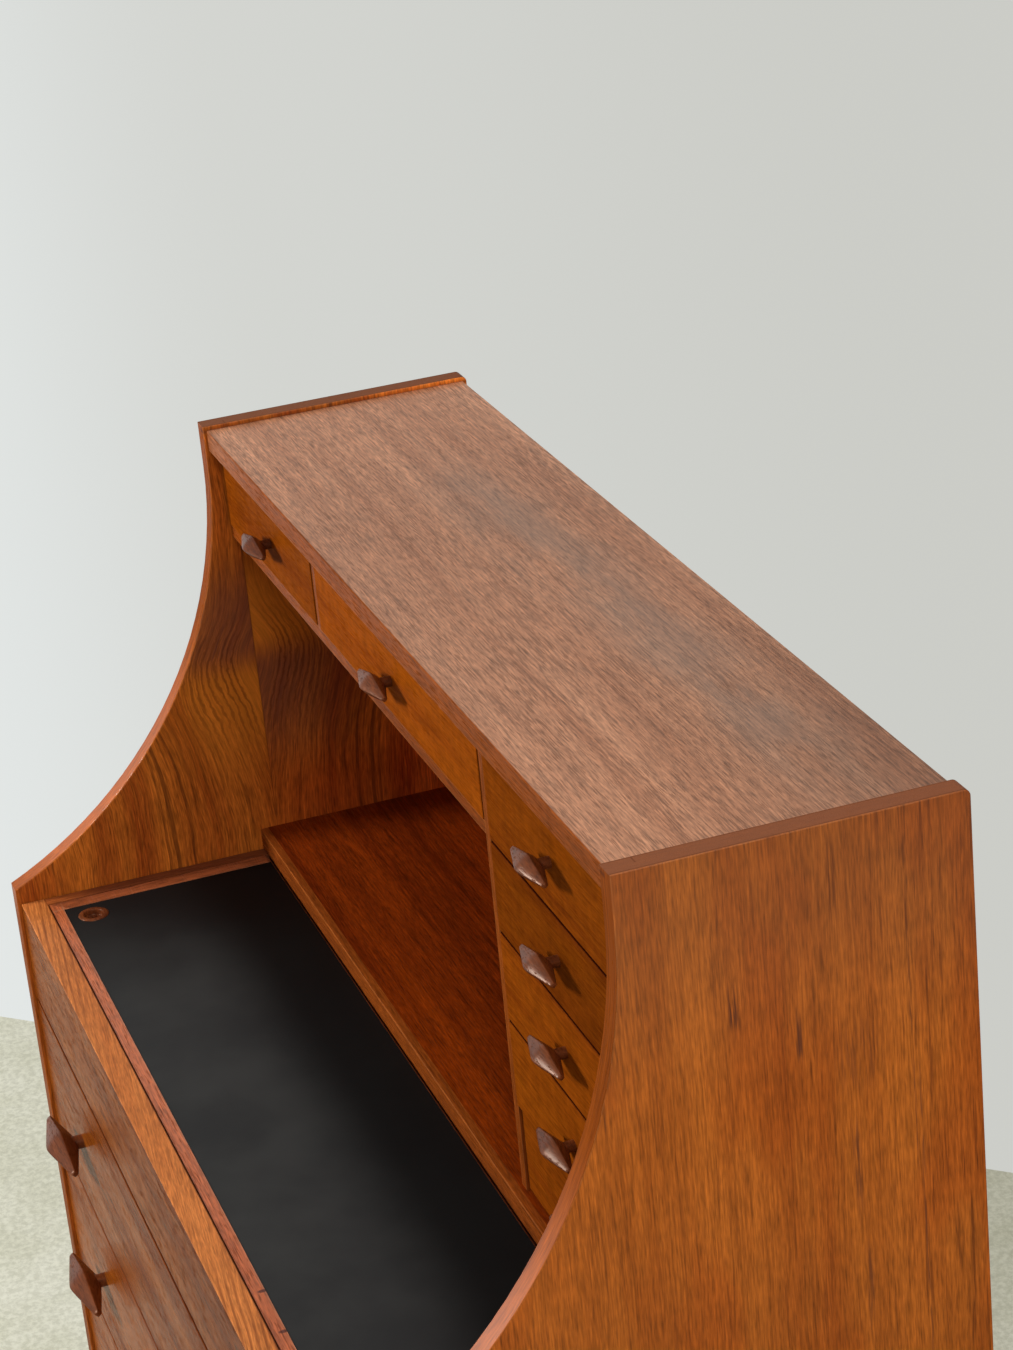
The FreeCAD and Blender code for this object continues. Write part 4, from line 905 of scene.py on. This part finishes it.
def lathe(outline, centre, sides):
    """Corners and faces of a turned piece: an outline of radius and height, spun about an upright axis."""
    turns = [2 * math.pi * side / sides for side in range(sides)]
    corners = [centre + Vector((radius * math.cos(turn), radius * math.sin(turn), height))
               for radius, height in outline for turn in turns]
    rows = len(outline)
    faces = [(row * sides + side, row * sides + (side + 1) % sides,
              (row + 1) * sides + (side + 1) % sides, (row + 1) * sides + side)
             for row in range(rows - 1) for side in range(sides)]
    faces.append(tuple(reversed(range(sides))))
    faces.append(tuple((rows - 1) * sides + side for side in range(sides)))
    return corners, faces


def cup_outline(low, high, rim, covering):
    """Radius and height from the foot of the cup, over its rim, to the middle of its dish."""
    floor = low + CUP_FLOOR
    turns = [math.pi / 2 * part / ROUND_PARTS for part in range(ROUND_PARTS + 1)]
    crown = [(rim - RIM_ROUND * (1 - math.cos(turn)), covering + (high - covering) * math.sin(turn))
             for turn in turns]
    inner = [(CUP_DISH + DISH_ROUND * (1 - math.sin(turn)), high - DISH_ROUND * (1 - math.cos(turn)))
             for turn in turns]
    bottom = [(CUP_DISH - CUP_FLOOR_ROUND * (1 - math.cos(turn)),
               floor + CUP_FLOOR_ROUND * (1 - math.sin(turn))) for turn in turns]
    return [(CUP_BORE, low), (CUP_BORE, covering), *crown, *inner, *bottom, (0.0004, floor - 0.0002)]


def make_cups():
    low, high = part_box("finger_cups")
    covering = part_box("leaf_surface")[1].z
    rim = (high.y - low.y) / 2
    outline = cup_outline(low.z, high.z, rim, covering)
    spun = [lathe(outline, Vector((x, (low.y + high.y) / 2, 0)), CUP_SIDES)
            for x in (low.x + rim, high.x - rim)]
    cups = mesh_piece("turned_cups", *merged(spun), PULL_WOOD)
    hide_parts("finger_cups")
    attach(cups, "leaf")


make_cups()
steel, tree, shader, place = surface("plain_steel", 0.35)
shader.inputs["Metallic"].default_value = 1
brushed = noise(tree, scaled(tree, place, (20, 1, 1)), 300, 2)
join(tree, shader.inputs["Base Color"], tint(
    tree, brushed, colour(0.42, 0.42, 0.43), colour(0.62, 0.62, 0.63)))
dress("leaf_pivots", steel)


# ---------------------------------------------------------------- legs
# Solid teak legs, turned to a taper and oiled smooth. The square blocks that hold them are out of sight, and
# were left rougher.
LEG_TEAK = three_tones((0.34, 0.11, 0.032), (0.20, 0.058, 0.015))
dress("legs", board_finish("legs", "z", LEG_TEAK, roughness=0.32, wear_and_highlight=0, Ribbons=1.3, Lines=0.6, Pores=0.4,
                           Wander=0.006))
dress("leg_blocks", board_finish("leg_blocks", "x", LEG_TEAK, roughness=0.4, wear_and_highlight=0.2, Ribbons=1, Lines=0.5,
                                 Pores=0.4, Wander=0.006))


# ---------------------------------------------------------------- screws
# Slotted steel screws: one behind each pull, a few through the upper back into the boards it closes, and
# four through each leg block. Each head is a low dome, and its slot stands as the screw happened to stop.
HEAD_SEED = 7
FACING_BACK = (-math.pi / 2, 0, 0)
FACING_DOWN = (math.pi, 0, 0)
BLOCK_SIZE = 0.080
BLOCK_MARGIN = 0.011
HEAD_SIDES = 24
HEAD_HEIGHT = 0.0012
SLOT_WIDTH = 0.0009
SMALL_HEAD = 0.0035
LARGE_HEAD = 0.004
SUNK = 0.0002
SHELF_SCREWS = (-0.42, -0.21, 0, 0.21, 0.42)
ROW_SCREWS = (-0.40, -0.14, 0.12)
COLUMN_SCREWS = (0.84, 0.95)


def screw_tree(material):
    """Turns loose points into screw heads of a Radius and a Height, with a slot that is Slot wide."""
    tree = bpy.data.node_groups.new("screw_heads", "GeometryNodeTree")
    tree.interface.new_socket("Places", in_out="INPUT", socket_type="NodeSocketGeometry")
    for label in ("Radius", "Height", "Slot"):
        tree.interface.new_socket(label, in_out="INPUT", socket_type="NodeSocketFloat")
    tree.interface.new_socket("Facing", in_out="INPUT", socket_type="NodeSocketVector")
    tree.interface.new_socket("Heads", in_out="OUTPUT", socket_type="NodeSocketGeometry")
    given = put(tree, "NodeGroupInput").outputs
    dome = put(tree, "GeometryNodeMeshCone")
    dome.inputs["Vertices"].default_value = HEAD_SIDES
    join(tree, dome.inputs["Radius Bottom"], given["Radius"])
    join(tree, dome.inputs["Radius Top"], times(tree, given["Radius"], 0.6))
    join(tree, dome.inputs["Depth"], given["Height"])
    reach = times(tree, given["Radius"], 3)
    size = put(tree, "ShaderNodeCombineXYZ", (reach, given["Slot"], given["Height"]))
    bar = put(tree, "GeometryNodeMeshCube", (size,))
    raised = put(tree, "GeometryNodeTransform")
    join(tree, raised.inputs["Geometry"], bar.outputs["Mesh"])
    join(tree, raised.inputs["Translation"], put(tree, "ShaderNodeCombineXYZ", (0, 0, given["Height"])))
    head = put(tree, "GeometryNodeMeshBoolean", operation="DIFFERENCE")
    tree.links.new(dome.outputs["Mesh"], head.inputs["Mesh 1"])
    tree.links.new(raised.outputs["Geometry"], head.inputs["Mesh 2"])
    placed = put(tree, "GeometryNodeInstanceOnPoints")
    join(tree, placed.inputs["Points"], given["Places"])
    join(tree, placed.inputs["Instance"], head.outputs["Mesh"])
    join(tree, placed.inputs["Rotation"], given["Facing"])
    stop = put(tree, "FunctionNodeRandomValue", data_type="FLOAT")
    for label, value in (("Min", 0.0), ("Max", math.pi), ("Seed", HEAD_SEED)):
        for socket in stop.inputs:
            if socket.name == label and socket.enabled:
                socket.default_value = value
    stopped = put(tree, "GeometryNodeRotateInstances")
    join(tree, stopped.inputs["Instances"], placed.outputs["Instances"])
    turn = next(socket for socket in stop.outputs if socket.enabled)
    join(tree, stopped.inputs["Rotation"], put(tree, "ShaderNodeCombineXYZ", (0, 0, turn)))
    real = put(tree, "GeometryNodeRealizeInstances", (stopped.outputs["Instances"],))
    steel = put(tree, "GeometryNodeSetMaterial")
    join(tree, steel.inputs["Geometry"], real.outputs["Geometry"])
    steel.inputs["Material"].default_value = material
    join(tree, put(tree, "NodeGroupOutput").inputs["Heads"], steel.outputs["Geometry"])
    return tree


def screws(name, body, places, facing, radius=LARGE_HEAD):
    """One piece with a screw head at each place."""
    points = bpy.data.meshes.new(f"{name}_places")
    points.from_pydata(places, [], [])
    holder = stand(f"{name}_places", points)
    maker = holder.modifiers.new("heads", "NODES")
    maker.node_group = SCREW_TREE
    sockets = {item.name: item.identifier for item in SCREW_TREE.interface.items_tree
               if item.in_out == "INPUT"}
    values = {"Radius": radius, "Height": HEAD_HEIGHT, "Slot": SLOT_WIDTH, "Facing": facing}
    for label, value in values.items():
        maker[sockets[label]] = value
    finished = holder.evaluated_get(bpy.context.evaluated_depsgraph_get())
    mesh = bpy.data.meshes.new_from_object(finished)
    mesh.name = name
    bpy.data.objects.remove(holder)
    piece = stand(name, mesh)
    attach(piece, body)


steel_finish, tree, shader, place = surface("screw_steel", 0.38)
shader.inputs["Metallic"].default_value = 1
tarnish = noise(tree, place, 900, 2)
join(tree, shader.inputs["Base Color"], tint(
    tree, step(tree, tarnish, 0.4, 0.65), colour(0.50, 0.46, 0.40), colour(0.24, 0.20, 0.16)))
SCREW_TREE = screw_tree(steel_finish)
for drawer in upper_drawers:
    low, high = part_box(f"{drawer}_pull")
    right, up = PULL_SHIFTS[drawer]
    centre = ((low.x + high.x) / 2 + right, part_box(f"{drawer}_front")[1].y - SUNK, (low.z + high.z) / 2 + up)
    screws(f"{drawer}_screws", drawer, [centre], FACING_BACK, SMALL_HEAD)
for drawer in lower_drawers:
    low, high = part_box(f"{drawer}_pulls")
    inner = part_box(f"{drawer}_front")[1].y - SUNK
    places = [(x, inner, (low.z + high.z) / 2) for x in (-PULL_SPREAD, PULL_SPREAD)]
    screws(f"{drawer}_screws", drawer, places, FACING_BACK)
shelf_low, shelf_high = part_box("shelf")
row_low, row_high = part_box("row_board")
column_low, column_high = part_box("column_divider")
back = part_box("upper_back")[1].y - SUNK
places = [(x, back, (shelf_low.z + shelf_high.z) / 2) for x in SHELF_SCREWS]
places += [(x, back, (row_low.z + row_high.z) / 2) for x in ROW_SCREWS]
places += [((column_low.x + column_high.x) / 2, back, z) for z in COLUMN_SCREWS]
screws("back_screws", "case", places, FACING_BACK, SMALL_HEAD)
low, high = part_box("leg_blocks")
margins = (BLOCK_MARGIN, BLOCK_SIZE - BLOCK_MARGIN)
places = [(x + dx, y + dy, low.z + SUNK)
          for x in (low.x, high.x - BLOCK_SIZE) for y in (low.y, high.y - BLOCK_SIZE)
          for dx in margins for dy in margins]
screws("block_screws", "case", places, FACING_DOWN)
